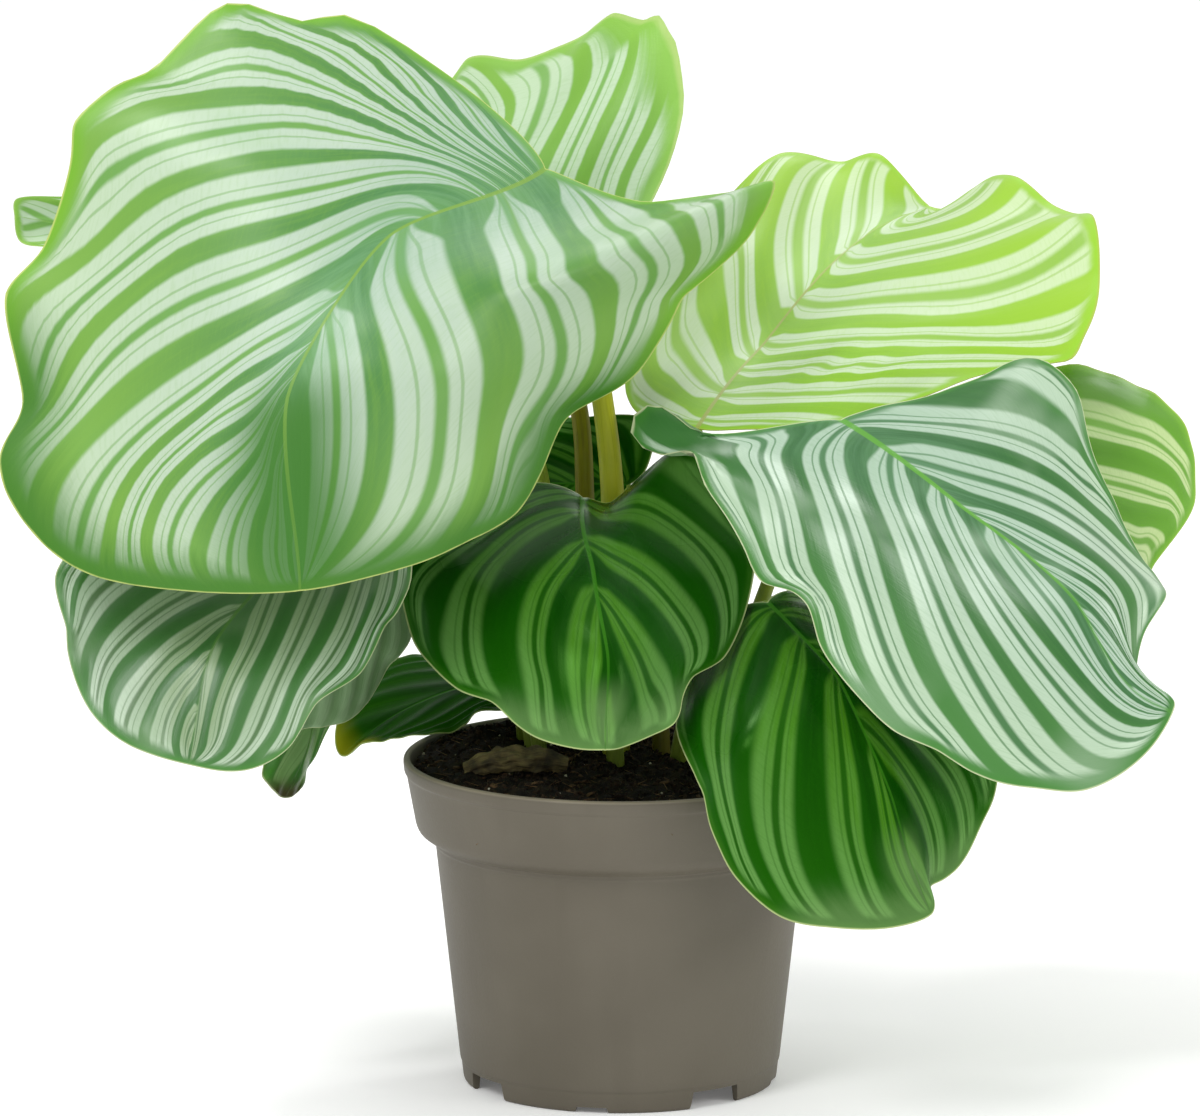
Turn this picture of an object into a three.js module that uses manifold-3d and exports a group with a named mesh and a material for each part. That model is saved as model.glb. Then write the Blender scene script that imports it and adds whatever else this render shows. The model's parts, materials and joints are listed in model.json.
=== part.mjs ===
// A round-leaved prayer plant (calathea) in a 14 cm nursery pot. Millimetres, +Z up.
// The front is -Y. Places are given from the pot's axis on the ground; the whole plant is then
// moved so that the origin is the middle of its outline on the surface it stands on.

import * as THREE from 'three';
import { mergeVertices } from 'three/addons/utils/BufferGeometryUtils.js';
import Module from 'manifold-3d';

const wasm = await Module();
wasm.setup();

// ---- driving dimensions -------------------------------------------------------------------

const potHeight = 107;
const rimRadius = 70.3;
const baseRadius = 51;
const wallThickness = 1.8;
const bandHeight = 19;
const footHeight = 7;
const soilHeight = 104.5;
const clearance = 0.3;      // between pieces that touch
const bladeThickness = 0.9;
const potAxis = [6, -14];   // from the middle of the plant's outline

// ---- solids -------------------------------------------------------------------------------

function toSolid(geometry) {
  const bare = geometry.index ? geometry.clone() : geometry;
  bare.deleteAttribute('normal');
  bare.deleteAttribute('uv');
  const merged = mergeVertices(bare, 1e-4);
  return new wasm.Manifold(new wasm.Mesh({
    numProp: 3,
    vertProperties: new Float32Array(merged.attributes.position.array),
    triVerts: new Uint32Array(merged.index.array),
  }));
}

function toGeometry(solid) {
  const mesh = solid.getMesh();
  const geometry = new THREE.BufferGeometry();
  geometry.setAttribute('position', new THREE.BufferAttribute(mesh.vertProperties, 3));
  geometry.setIndex(new THREE.BufferAttribute(mesh.triVerts, 1));
  return geometry;
}

function largestPiece(solid) {
  const pieces = solid.decompose();
  return pieces.reduce((best, piece) => (piece.volume() > best.volume() ? piece : best));
}

function indexed(points, triangles) {
  const geometry = new THREE.BufferGeometry();
  const flat = points.flatMap((p) => [p.x, p.y, p.z]);
  geometry.setAttribute('position', new THREE.Float32BufferAttribute(flat, 3));
  geometry.setIndex(triangles);
  return geometry;
}

// A round bar of changing radius along a curve, closed at both ends.
function taperedBar(curve, radiusAt, steps, sides) {
  const frames = curve.computeFrenetFrames(steps, false);
  const points = [];
  const triangles = [];
  for (let i = 0; i <= steps; i++) {
    const centre = curve.getPointAt(i / steps);
    const radius = radiusAt(i / steps);
    for (let j = 0; j < sides; j++) {
      const angle = (2 * Math.PI * j) / sides;
      points.push(centre.clone()
        .addScaledVector(frames.normals[i], radius * Math.cos(angle))
        .addScaledVector(frames.binormals[i], radius * Math.sin(angle)));
    }
  }
  for (let i = 0; i < steps; i++) {
    for (let j = 0; j < sides; j++) {
      const a = i * sides + j;
      const b = i * sides + (j + 1) % sides;
      triangles.push(a, b, a + sides, b, b + sides, a + sides);
    }
  }
  const last = steps * sides;
  for (let j = 1; j < sides - 1; j++) {
    triangles.push(0, j + 1, j, last, last + j, last + j + 1);
  }
  return indexed(points, triangles);
}

// ---- the flat leaf ------------------------------------------------------------------------
// One half of a flat leaf of length 1: s runs from the base vein (0) to the tip (1), t along a
// vein from the midrib (0) to the margin (1). The base vein is the lower margin itself.

const leafHalfWidth = 0.52;
const widestAt = 0.45;

function flatPoint(side, s, t) {
  const onRib = s ** 2.5;
  const turn = (Math.PI / 2) * s ** 0.95;
  const marginX = leafHalfWidth * Math.cos(turn);
  const marginY = widestAt + (1 - widestAt) * Math.sin(turn);
  const reach = Math.hypot(marginX, marginY - onRib);
  const leave = THREE.MathUtils.degToRad(30 + 84 * (1 - s) ** 1.1);
  const arrive = THREE.MathUtils.degToRad(-38 * s);
  const lateHandle = (0.34 + 0.42 * Math.exp(-s / 0.16)) * reach;
  const x1 = 0.42 * reach * Math.sin(leave);
  const y1 = onRib + 0.42 * reach * Math.cos(leave);
  const x2 = marginX - lateHandle * Math.sin(arrive);
  const y2 = marginY - lateHandle * Math.cos(arrive);
  const k0 = (1 - t) ** 3;
  const k1 = 3 * t * (1 - t) ** 2;
  const k2 = 3 * t * t * (1 - t);
  const k3 = t ** 3;
  return [side * (k1 * x1 + k2 * x2 + k3 * marginX), k0 * onRib + k1 * y1 + k2 * y2 + k3 * marginY];
}

// Round the margin, q is 0 at the base, 1 where the base vein ends and 2 at the tip.
function flatMargin(side, q) {
  return q <= 1 ? flatPoint(side, 0, q) : flatPoint(side, q - 1, 1);
}

// ---- bending the flat leaf ----------------------------------------------------------------
// A thin plate that is bent through a few chosen points takes the smoothest shape there is.

function solveLinear(matrix, right) {
  const n = matrix.length;
  const rows = matrix.map((row, i) => [...row, ...right[i]]);
  for (let c = 0; c < n; c++) {
    let pivot = c;
    for (let r = c + 1; r < n; r++) {
      if (Math.abs(rows[r][c]) > Math.abs(rows[pivot][c])) pivot = r;
    }
    [rows[c], rows[pivot]] = [rows[pivot], rows[c]];
    for (let r = 0; r < n; r++) {
      if (r === c) continue;
      const factor = rows[r][c] / rows[c][c];
      for (let k = c; k < rows[r].length; k++) rows[r][k] -= factor * rows[c][k];
    }
  }
  return rows.map((row, i) => row.slice(n).map((value) => value / row[i]));
}

function plateKernel(dx, dy) {
  const square = dx * dx + dy * dy;
  return square > 0 ? square * Math.log(square) : 0;
}

function bentPlate(flats, places) {
  const n = flats.length;
  const matrix = [];
  for (let i = 0; i < n; i++) {
    const [x, y] = flats[i];
    matrix.push([...flats.map(([u, v]) => plateKernel(x - u, y - v)), 1, x, y]);
  }
  matrix.push([...flats.map(() => 1), 0, 0, 0]);
  matrix.push([...flats.map(([u]) => u), 0, 0, 0]);
  matrix.push([...flats.map(([, v]) => v), 0, 0, 0]);
  const weights = solveLinear(matrix, [...places, [0, 0, 0], [0, 0, 0], [0, 0, 0]]);
  return (x, y) => {
    const factors = [...flats.map(([u, v]) => plateKernel(x - u, y - v)), 1, x, y];
    const sum = [0, 0, 0];
    factors.forEach((factor, i) => {
      for (let k = 0; k < 3; k++) sum[k] += factor * weights[i][k];
    });
    return new THREE.Vector3(...sum);
  };
}

function leafSurface(leaf) {
  const flats = [];
  const places = [];
  const hold = (flat, [x, y, z]) => {
    flats.push(flat);
    places.push([x, y, z]);
  };
  leaf.rib.forEach(([v, ...place]) => hold([0, v], place));
  leaf.right.forEach(([q, ...place]) => hold(flatMargin(1, q), place));
  leaf.left.forEach(([q, ...place]) => hold(flatMargin(-1, q), place));
  leaf.belly.forEach(([side, s, t, ...place]) => hold(flatPoint(side, s, t), place));
  return bentPlate(flats, places);
}

// ---- leaf blades --------------------------------------------------------------------------

// How far the margin's small waves lift the point at (x, y) of the flat leaf.
function marginWave(leaf, x, y) {
  const out = Math.hypot(x / leafHalfWidth, (y - widestAt) / (1 - widestAt));
  const angle = Math.atan2(x, y - widestAt);
  const waves = leaf.waves ?? [7, 1.6, 0];
  return waves[1] * Math.min(out, 1.05) ** 6 * Math.sin(waves[0] * angle + waves[2]);
}

// Columns of the sheet, as parts of a vein; the first pair is the width of the midrib's keel.
const columnSets = {
  finest: [0.035, 0.15, 0.26, 0.36, 0.46, 0.56, 0.66, 0.76, 0.88, 1],
  fine: [0.035, 0.22, 0.42, 0.6, 0.76, 0.89, 1],
  medium: [0.04, 0.27, 0.52, 0.74, 0.89, 1],
  coarse: [0.05, 0.36, 0.7, 0.9, 1],
};

function bladeSheet(leaf, surface) {
  const [rows, set] = leaf.grid ?? [13, 'medium'];
  const steps = columnSets[set];
  const half = steps.length;
  const columns = 2 * half + 1;
  const flats = [];
  const keel = [];
  for (let i = 0; i < rows; i++) {
    for (let j = -half; j <= half; j++) {
      const t = j === 0 ? 0 : steps[Math.abs(j) - 1];
      flats.push(flatPoint(Math.sign(j) || 1, i / rows, t));
      keel.push(j === 0 ? keelDepth(leaf, i / rows) : 0);
    }
  }
  flats.push([0, 1]);
  keel.push(0);
  const tip = rows * columns;
  const face = [];
  for (let i = 0; i < rows; i++) {
    for (let j = 0; j < columns - 1; j++) {
      const a = i * columns + j;
      const b = a + 1;
      const c = i + 1 < rows ? a + columns : tip;
      const d = i + 1 < rows ? b + columns : tip;
      if (j < half) {
        face.push([a, b, c]);
        if (c !== d) face.push([b, d, c]);
      } else {
        if (c !== d) face.push([a, d, c]);
        face.push([a, b, d]);
      }
    }
  }
  const middle = flats.map(([x, y]) => surface(x, y));
  const normals = vertexNormals(middle, face);
  middle.forEach((p, i) => p.addScaledVector(normals[i], marginWave(leaf, ...flats[i])));
  const waved = vertexNormals(middle, face);
  const halfThickness = bladeThickness / 2;
  const top = middle.map((p, i) => p.clone().addScaledVector(waved[i], halfThickness));
  const under = middle.map((p, i) => p.clone().addScaledVector(waved[i], -halfThickness - keel[i]));
  const offset = middle.length;
  const edge = [];
  for (let j = 0; j < columns; j++) edge.push(j);
  for (let i = 1; i < rows; i++) edge.push(i * columns + columns - 1);
  edge.push(tip);
  for (let i = rows - 1; i > 0; i--) edge.push(i * columns);
  const triangles = [];
  face.forEach(([a, b, c]) => triangles.push(a, b, c, offset + a, offset + c, offset + b));
  edge.forEach((a, i) => {
    const b = edge[(i + 1) % edge.length];
    triangles.push(a, offset + b, b, a, offset + a, offset + b);
  });
  return indexed([...top, ...under], triangles);
}

function vertexNormals(points, face) {
  const normals = points.map(() => new THREE.Vector3());
  face.forEach(([a, b, c]) => {
    const n = points[b].clone().sub(points[a]).cross(points[c].clone().sub(points[a]));
    [a, b, c].forEach((k) => normals[k].add(n));
  });
  return normals.map((n) => n.normalize());
}

// The midrib is a keel under the blade, deep at the stalk and gone at the tip.
function keelDepth(leaf, along) {
  return (leaf.keel ?? 2.6) * (1 - along) ** 0.8;
}

// Where the stalk meets the blade: just under the base end of the midrib.
function stalkEnd(leaf, surface) {
  const ahead = surface(0, 0.03).sub(surface(0, 0));
  const across = surface(0.03, 0).sub(surface(-0.03, 0));
  const normal = across.cross(ahead).normalize();
  return surface(0, 0).addScaledVector(normal, -0.6 * keelDepth(leaf, 0));
}

// ---- stalks -------------------------------------------------------------------------------

function stalkCurve(leaf, end, overrun) {
  const points = leaf.stalk.map(([x, y, z]) => new THREE.Vector3(x, y, z));
  const toBlade = end.clone().sub(points[points.length - 1]).normalize();
  points.push(end.clone().addScaledVector(toBlade, overrun));
  return new THREE.CatmullRomCurve3(points, false, 'centripetal');
}

// Wide where the sheath wraps the foot, slim above it, a little thicker at the blade.
function stalkRadius(leaf, along) {
  const [foot, top] = leaf.stalkSize ?? [3.2, 2];
  const sheath = Math.max(0, 1 - along / 0.75) ** 1.3;
  const joint = Math.exp(-(((along - 1) / 0.07) ** 2));
  return top + (foot - top) * sheath + 0.35 * joint;
}

function stalkSolid(leaf, end, grow) {
  const curve = stalkCurve(leaf, end, grow - clearance);
  const steps = leaf.stalkSteps ?? 11;
  return toSolid(taperedBar(curve, (along) => stalkRadius(leaf, along) + grow, steps, 8));
}

// ---- the pot ------------------------------------------------------------------------------

function lathe(profile, segments) {
  const points = profile.map(([r, z]) => new THREE.Vector2(r, z));
  const geometry = new THREE.LatheGeometry(points, segments);
  geometry.rotateX(Math.PI / 2);
  return toSolid(geometry);
}

// A wedge that spans the wall between two angles from the front, below a height.
function wedge(angle, halfWidth, height, slant) {
  const inner = baseRadius - 8;
  const outer = baseRadius + 6;
  const shape = new THREE.Shape();
  shape.moveTo(-halfWidth - slant, -2);
  shape.lineTo(halfWidth + slant, -2);
  shape.lineTo(halfWidth, height);
  shape.lineTo(-halfWidth, height);
  shape.closePath();
  const geometry = new THREE.ExtrudeGeometry(shape, { depth: outer - inner, bevelEnabled: false });
  geometry.rotateX(Math.PI / 2);
  geometry.translate(0, -inner, 0);
  geometry.rotateZ(THREE.MathUtils.degToRad(angle));
  return toSolid(geometry);
}

const bandFoot = potHeight - bandHeight;
const bodyTop = 60.4;   // radius under the band
const bandRadius = 66.6;
const floorTop = footHeight + 1.8;
const deepNotches = [-58.3, 37.3, 121.7, 217.3];   // degrees from the front
const innerBase = baseRadius - wallThickness - 0.2;
const innerTop = bodyTop - wallThickness;

function potSolid() {
  const profile = [
    [0, footHeight],
    [baseRadius - 2.6, footHeight],
    [baseRadius - 2.4, 0],
    [baseRadius - 0.9, 0],
    [baseRadius - 0.1, 0.8],
    [bodyTop - 0.3, bandFoot - 8],
    [bodyTop + 2, bandFoot - 6.7],
    [bandRadius - 1.3, bandFoot - 4.8],
    [bandRadius - 0.4, bandFoot - 2.8],
    [rimRadius - 0.6, potHeight - 2],
    [rimRadius, potHeight - 0.9],
    [rimRadius - 0.7, potHeight],
    [rimRadius - 2, potHeight],
    [rimRadius - 2.5, potHeight - 1.5],
    [bandRadius - wallThickness, bandFoot + 1],
    [innerTop + 0.4, bandFoot - 4],
    [innerTop, bandFoot - 8],
    [innerBase, floorTop],
    [0, floorTop],
  ];
  let pot = lathe(profile, 40);
  deepNotches.forEach((angle) => {
    pot = pot.subtract(wedge(angle, 8.9, footHeight - 1.1, 1));
  });
  for (let i = 0; i < 4; i++) {
    pot = pot.subtract(wedge(-10.5 + 90 * i, 4.9, 1.9, 1.3));
    const hole = new THREE.CylinderGeometry(5, 5, 8, 10);
    hole.rotateX(Math.PI / 2);
    hole.translate(0, -34, footHeight + 1);
    hole.rotateZ(THREE.MathUtils.degToRad(34 + 90 * i));
    pot = pot.subtract(toSolid(hole));
  }
  return pot;
}

// ---- the soil -----------------------------------------------------------------------------

function soilTop(x, y) {
  const lumps = 0.9 * Math.sin(x / 5.3 + 1) * Math.cos(y / 6.1)
    + 0.7 * Math.sin(x / 2.9 - y / 3.7) + 0.5 * Math.cos(x / 2.1 + y / 2.6 + 2);
  const heap = 4.6 * Math.exp(-(((x + 40) / 34) ** 2) - (((y - 34) / 34) ** 2));
  const middle = 2 * Math.exp(-((x / 34) ** 2) - ((y / 34) ** 2));
  const edge = THREE.MathUtils.smoothstep(Math.hypot(x, y), 50, 66);
  return soilHeight + heap * (1 - 0.2 * edge) + middle + lumps * (1 - 0.6 * edge) - 1.2 * edge;
}

function innerRadius(z) {
  if (z > bandFoot + 1) {
    const part = (z - bandFoot - 1) / (bandHeight - 2.5);
    return THREE.MathUtils.lerp(bandRadius - wallThickness, rimRadius - 2.5, part);
  }
  const low = THREE.MathUtils.lerp(innerBase, innerTop, (z - floorTop) / (bandFoot - 8 - floorTop));
  return Math.min(low, innerTop);
}

function soilSolid() {
  const around = 30;
  const rings = 6;
  const points = [new THREE.Vector3(0, 0, soilTop(0, 0))];
  const triangles = [];
  const addRing = (radius, heightAt) => {
    for (let j = 0; j < around; j++) {
      const angle = (2 * Math.PI * j) / around;
      const x = radius * Math.cos(angle);
      const y = radius * Math.sin(angle);
      points.push(new THREE.Vector3(x, y, heightAt(x, y)));
    }
  };
  const topRadius = innerRadius(soilHeight - 3) - clearance - 0.2;
  for (let i = 1; i <= rings; i++) addRing((topRadius * i) / rings, soilTop);
  const walls = [bandFoot + 1, bandFoot - 4, bandFoot - 8, floorTop];
  walls.forEach((z) => {
    const gap = clearance + 0.25;
    const lift = z === floorTop ? clearance : 0;
    addRing(innerRadius(z) - gap, () => z + lift);
  });
  const loops = rings + walls.length;
  for (let j = 0; j < around; j++) {
    const next = (j + 1) % around;
    triangles.push(0, 1 + j, 1 + next);
    for (let i = 0; i < loops - 1; i++) {
      const a = 1 + i * around + j;
      const b = 1 + i * around + next;
      triangles.push(a, a + around, b, b, a + around, b + around);
    }
    const last = 1 + (loops - 1) * around;
    triangles.push(last + next, last + j, points.length);
  }
  points.push(new THREE.Vector3(0, 0, floorTop + clearance));
  return toSolid(indexed(points, triangles));
}

// ---- the leaves ---------------------------------------------------------------------------
// Every leaf is held by hand-placed points [x, y, z]: the midrib at parts v of its length, the
// margin at q on its right and left (seen from above, base to tip), and a few inside points
// given by side, s and t. stalk is the route from the soil to just short of the blade.

const leaves = {
  front_left: {
    colour: 0x6fb24a,
    stalkColour: 0xb7b93a,
    stalkSize: [5, 3.2],
    grid: [16, 'finest'],
    waves: [8, 0, 0],
    keel: 4.4,
    stalk: [[-1, 4, 77.8], [-2, 5, 137.8], [-2.6, 5, 194.8], [-6, 5, 225.8], [-13, 5, 265.8]],
    rib: [[0, -24, 5, 298.8], [0.35, -73, -45, 285.8], [0.7, -105, -88, 240.8], [1, -101, -100, 181.8]],
    right: [
      [0.25, -58.3, 22, 328.6], [0.36, -87, 25, 345.4], [0.46, -103.1, 25, 343.8],
      [0.56, -122.3, 22, 350.1], [0.66, -135.1, 18, 344.8], [0.76, -148.8, 12, 331.1],
      [0.86, -161.4, 6, 326.2], [0.95, -174.7, -1, 315.3], [1.04, -176.8, -8, 301.2],
      [1.13, -185.3, -16, 275.6], [1.21, -196.6, -23, 262.9], [1.34, -190.7, -38, 229.9],
      [1.44, -197.3, -50, 215.9], [1.52, -194.8, -58, 203.8], [1.6, -184.1, -66, 190.8],
      [1.7, -167.8, -78, 182.5], [1.82, -142, -90, 180.1],
    ],
    left: [
      [0.4, 9.3, 10, 287.2], [0.7, 37.1, 20, 289.1], [0.85, 50.3, 22, 291.6],
      [0.97, 41.2, 16, 273.6], [1.06, 28.3, 8, 262.6], [1.13, 20.5, 0, 257.8],
      [1.2, 16.6, -7, 250.9], [1.27, 6.3, -17, 237.1], [1.34, -5.2, -27, 230.8],
      [1.41, -16.7, -36, 225.4], [1.5, -23.7, -48, 213.1], [1.6, -32.5, -64, 200],
      [1.7, -47.7, -76, 193.3], [1.8, -62.1, -88, 189], [1.9, -80.3, -94, 184.7],
    ],
    belly: [
      [1, 0.35, 0.5, -122, -30, 308.8], [1, 0.7, 0.5, -134, -76, 239.3],
      [-1, 0.35, 0.5, -11, -48, 275.8], [-1, 0.7, 0.5, -55, -88, 245.8],
    ],
  },
  top_back: {
    colour: 0x7fbb57,
    stalkColour: 0x8a7a2c,
    stalkSize: [4, 2.8],
    grid: [14, 'fine'],
    waves: [8, 0, 0],
    stalk: [[-12, 17, 77.8], [-11.5, 22, 147.8], [-11.4, 25, 187.8], [-13, 30, 213.8], [-19, 37, 235.8]],
    rib: [[0, -27, 42, 252.8], [0.35, -42, 70, 265.8], [0.7, -57, 102, 273.8], [1, -73, 134, 267.8]],
    right: [
      [0.2, -3, 38, 263.8], [0.4, 13, 42, 287.1], [0.52, 18.5, 45, 301.4],
      [0.62, 20.8, 48, 314.1], [0.74, 18.5, 53, 331.4], [0.84, 13, 57, 340.3],
      [0.93, 8.1, 61, 338.3], [1.02, -2.6, 66, 339.9], [1.12, -10.8, 74, 332.4],
      [1.24, -19.6, 84, 325.9], [1.36, -32.8, 96, 319.8], [1.48, -42.8, 106, 319.3],
      [1.6, -50.4, 114, 317], [1.72, -56.2, 122, 307.8], [1.86, -72, 130, 285.8],
    ],
    left: [
      [0.4, -30, 62, 233.8], [0.8, -44, 86, 219.8], [1, -58, 102, 217.8], [1.2, -74, 116, 223.8],
      [1.4, -86, 126, 233.8], [1.6, -90, 133, 245.8], [1.8, -85, 137, 257.8],
    ],
    belly: [
      [1, 0.32, 0.55, -32, 66, 289.8], [1, 0.1, 0.6, -2, 50, 307.8], [-1, 0.35, 0.5, -46, 80, 245.8],
    ],
  },
  far_left: {
    colour: 0x5f9a4a,
    stalkColour: 0x8fa374,
    grid: [9, 'medium'],
    waves: [7, 0.8, 0],
    stalk: [[-24, 13, 77.8], [-23.5, 15, 117.8], [-24, 19, 157.8], [-24, 22, 187.8], [-31, 25, 209.8]],
    rib: [
      [0, -45, 26, 219.8], [0.35, -93, 30, 249.8], [0.7, -148, 30, 270.8],
      [1, -195.8, 25, 280.1],
    ],
    right: [
      [0.5, -50, 42, 241.8], [1, -88, 48, 274.8], [1.2, -112, 46, 285.8],
      [1.4, -136.3, 42, 285.5], [1.6, -158.7, 36, 286.5], [1.8, -180.5, 30, 285.2],
      [1.92, -195.3, 27, 285],
    ],
    left: [
      [0.5, -58, 20, 203.8], [1, -98, 14, 208.8], [1.2, -122, 16, 217.8], [1.4, -146, 18, 231.8],
      [1.6, -168, 19, 249.8], [1.76, -180.2, 20, 269.5], [1.92, -194.6, 24, 272.8],
    ],
    belly: [[1, 0.35, 0.5, -90, 36, 261.8], [-1, 0.35, 0.5, -98, 20, 228.8]],
  },
  upper_right: {
    colour: 0x8fc84c,
    stalkColour: 0xa88f4a,
    grid: [15, 'fine'],
    waves: [8, 0, 0],
    stalk: [[14, 8, 77.8], [13, 10, 147.8], [15, 9, 182.8], [20, 3, 203.8]],
    rib: [
      [0, 24.7, -15, 217.9], [0.35, 46.8, 37, 235.7], [0.7, 72.9, 88, 255.9],
      [1, 103, 136, 263.9],
    ],
    right: [
      [0.12, 36.9, -14, 216.6], [0.25, 56.2, -10, 216.8], [0.4, 73.9, -6, 217.7],
      [0.5, 87.9, 2, 221.1], [0.75, 118, 6, 231.8], [0.9, 144.2, 8, 235.6],
      [1, 150.2, 16, 242.3], [1.1, 154.5, 28, 250.1],
      [1.22, 156.1, 46, 259.5], [1.36, 154.7, 64, 272.9], [1.46, 149.7, 78, 271.9],
      [1.56, 141.3, 92, 272.9], [1.66, 131.9, 106, 278.3], [1.76, 123.1, 120, 276],
      [1.88, 114.5, 130, 266.6],
    ],
    left: [
      [0.22, 7.1, -4, 219.8], [0.38, 2.9, 3, 223.4], [0.52, 1.6, 12, 228.3],
      [0.68, 6.5, 30, 239.9], [0.84, 14.7, 56, 256.8], [1, 26.9, 90, 265.9],
      [1.2, 42.3, 117, 277.1], [1.38, 54.1, 134, 282.4], [1.52, 64.9, 143, 279.6],
      [1.66, 75.6, 148, 277.1], [1.8, 86.6, 147, 279.3], [1.9, 95.5, 142, 271.3],
    ],
    belly: [[1, 0.35, 0.5, 100, 22, 241.8], [-1, 0.3, 0.5, 32, 62, 259.8]],
  },
  front_right: {
    colour: 0x3f8042,
    stalkColour: 0x6f8a3f,
    grid: [17, 'fine'],
    waves: [7, 0, 0],
    keel: 3.4,
    stalk: [[24, 9, 77.8], [32, 7, 117.8], [44, 2, 152.8], [58, -8, 192.8]],
    rib: [
      [0, 70.3, -30, 223.6], [0.35, 108.4, -70, 202.6], [0.7, 144.2, -100, 177.2],
      [1, 173.6, -112, 145],
    ],
    right: [
      [0.22, 32.6, -31, 218.5], [0.32, 23, -27, 219.8], [0.4, 14.4, -18, 224.6],
      [0.46, 8.3, -14, 224.9], [0.51, 3.9, -16, 221], [0.56, 4.2, -20, 215.2],
      [0.62, 11.8, -27, 211.6], [0.7, 22.4, -37, 214.8], [0.77, 25.8, -44, 207],
      [0.86, 32.5, -52, 197.8], [0.96, 39.7, -60, 186.4], [1.04, 45.7, -65, 177],
      [1.1, 54, -69, 175.3], [1.15, 59.6, -74, 171.1], [1.21, 62.7, -79, 161.1],
      [1.28, 68, -85, 153.3], [1.36, 76.5, -92, 144.4], [1.44, 86.8, -97, 135.7],
      [1.52, 99.4, -102, 131], [1.6, 109.4, -106, 125.4], [1.68, 120.6, -110, 121.8],
      [1.76, 132.2, -113, 120.8], [1.84, 145.3, -115, 120.6], [1.91, 157.8, -117, 126.8],
      [1.97, 168.7, -116, 137.2],
    ],
    left: [
      [0.28, 100.9, -22, 229.9], [0.42, 115.3, -19, 235.5], [0.57, 128.2, -18, 241.2],
      [0.68, 137.6, -22, 240.3], [0.76, 144.5, -27, 234.7], [0.84, 147.9, -32, 227.2],
      [0.92, 150.6, -40, 214.4], [1, 156.1, -48, 202.9], [1.14, 161.6, -56, 192.1],
      [1.3, 167.7, -64, 182], [1.44, 172.5, -72, 177.8], [1.54, 172.2, -80, 174.9],
      [1.66, 165.3, -88, 165.5], [1.78, 162.5, -97, 152.8], [1.9, 167.6, -104, 149.5],
    ],
    belly: [],
  },
  front_centre: {
    colour: 0x1f5f1e,
    stalkColour: 0xa3a552,
    waves: [7, 0, 0],
    grid: [14, 'medium'],
    stalk: [[0, -9, 77.8], [-3, -10, 127.8], [-9, -10, 172.8]],
    rib: [[0, -12, -12, 194.3], [0.35, -9, -50, 179.8], [0.7, -4, -82, 156.5], [1, -5, -95, 129.3]],
    right: [
      [0.3, -32, 0, 196.8], [0.6, -52, -14, 184.8], [0.82, -66.8, -24, 176.1],
      [1, -69.5, -34, 162.7], [1.1, -66.5, -44, 154], [1.2, -60.6, -54, 148.2],
      [1.32, -50.9, -66, 142.2], [1.44, -41.3, -74, 140.6], [1.56, -34.3, -80, 135.4],
      [1.68, -26.9, -85, 131.3], [1.84, -14.2, -92, 129.2],
    ],
    left: [
      [0.16, -3, -8, 191.8], [0.34, 6.4, -5, 200], [0.6, 22.5, -8, 209.4],
      [0.85, 39, -16, 187.8], [1, 43, -28, 173.8], [1.14, 39, -40, 159.7],
      [1.26, 32.6, -52, 149.7], [1.38, 23.6, -60, 145.9], [1.5, 19.7, -68, 140.4],
      [1.62, 17.1, -76, 133.9], [1.72, 10.1, -82, 131.3], [1.84, 1.6, -89, 129.2],
    ],
    belly: [
      [1, 0.5, 0.5, -46, -50, 169.8], [-1, 0.15, 0.5, 16, -16, 200.8], [-1, 0.5, 0.5, 17, -46, 172.5],
    ],
  },
  low_right: {
    colour: 0x2a6b27,
    stalkColour: 0xb9bb8c,
    waves: [7, 0, 0],
    grid: [14, 'medium'],
    stalk: [[16, 1, 77.8], [22, -5, 122.8], [37, -24, 151.8]],
    rib: [[0, 47, -34, 164.8], [0.35, 69, -67, 146.8], [0.7, 86, -91, 112.8], [1, 98.5, -98, 76.8]],
    right: [
      [0.3, 25, -24, 149.8], [0.55, 18.2, -52, 134.1], [0.66, 17.8, -62, 128.4],
      [0.78, 22.3, -72, 119.4], [0.9, 25.7, -78, 112.3], [1.02, 28.6, -83, 101.7],
      [1.2, 35.8, -90, 87.9], [1.4, 50.4, -96, 75.6], [1.6, 66.2, -100, 73],
      [1.8, 83.8, -102, 73.1],
    ],
    left: [
      [0.3, 62, -24, 165.8], [0.6, 88, -30, 160.8], [0.85, 109, -45, 146.8], [1, 118, -56, 131.8],
      [1.2, 120.4, -66, 114.6], [1.4, 115.1, -76, 101.4], [1.58, 107.3, -86, 89.3],
      [1.7, 101.5, -90, 85.7], [1.8, 98.2, -93, 84.4], [1.9, 99.5, -96, 80.5],
    ],
    belly: [[1, 0.4, 0.5, 38, -85, 127.8], [-1, 0.4, 0.5, 92, -62, 137.8]],
  },
  low_left: {
    colour: 0x4c6f45,
    stalkColour: 0x7d8f5a,
    waves: [7, 0, 0],
    grid: [13, 'medium'],
    stalk: [[-28, 7, 77.8], [-28.5, 6, 112], [-33, 6.5, 127], [-44, 9.5, 142], [-66, 20, 183.8]],
    rib: [[0, -75, 15, 193.8], [0.35, -103, -27, 179.8], [0.7, -130, -65, 155.3], [1, -137, -80, 121.3]],
    right: [
      [0.4, -95, -14, 201.8], [0.75, -140, -24, 197.8], [0.9, -164, -25, 190.8],
      [1, -175, -27, 181.8], [1.12, -181, -34, 172.8], [1.2, -180, -38, 165.8],
      [1.3, -177, -45, 157.8], [1.4, -176.5, -52, 152.3], [1.6, -169.5, -64, 136.3],
      [1.8, -156, -74, 126.3],
    ],
    left: [
      [0.25, -66, -20, 200.8], [0.5, -53, -50, 182.8], [0.66, -64.3, -54, 196],
      [0.82, -66.5, -58, 176.8], [1, -75, -62, 162.3], [1.2, -83, -66, 147.8],
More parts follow.
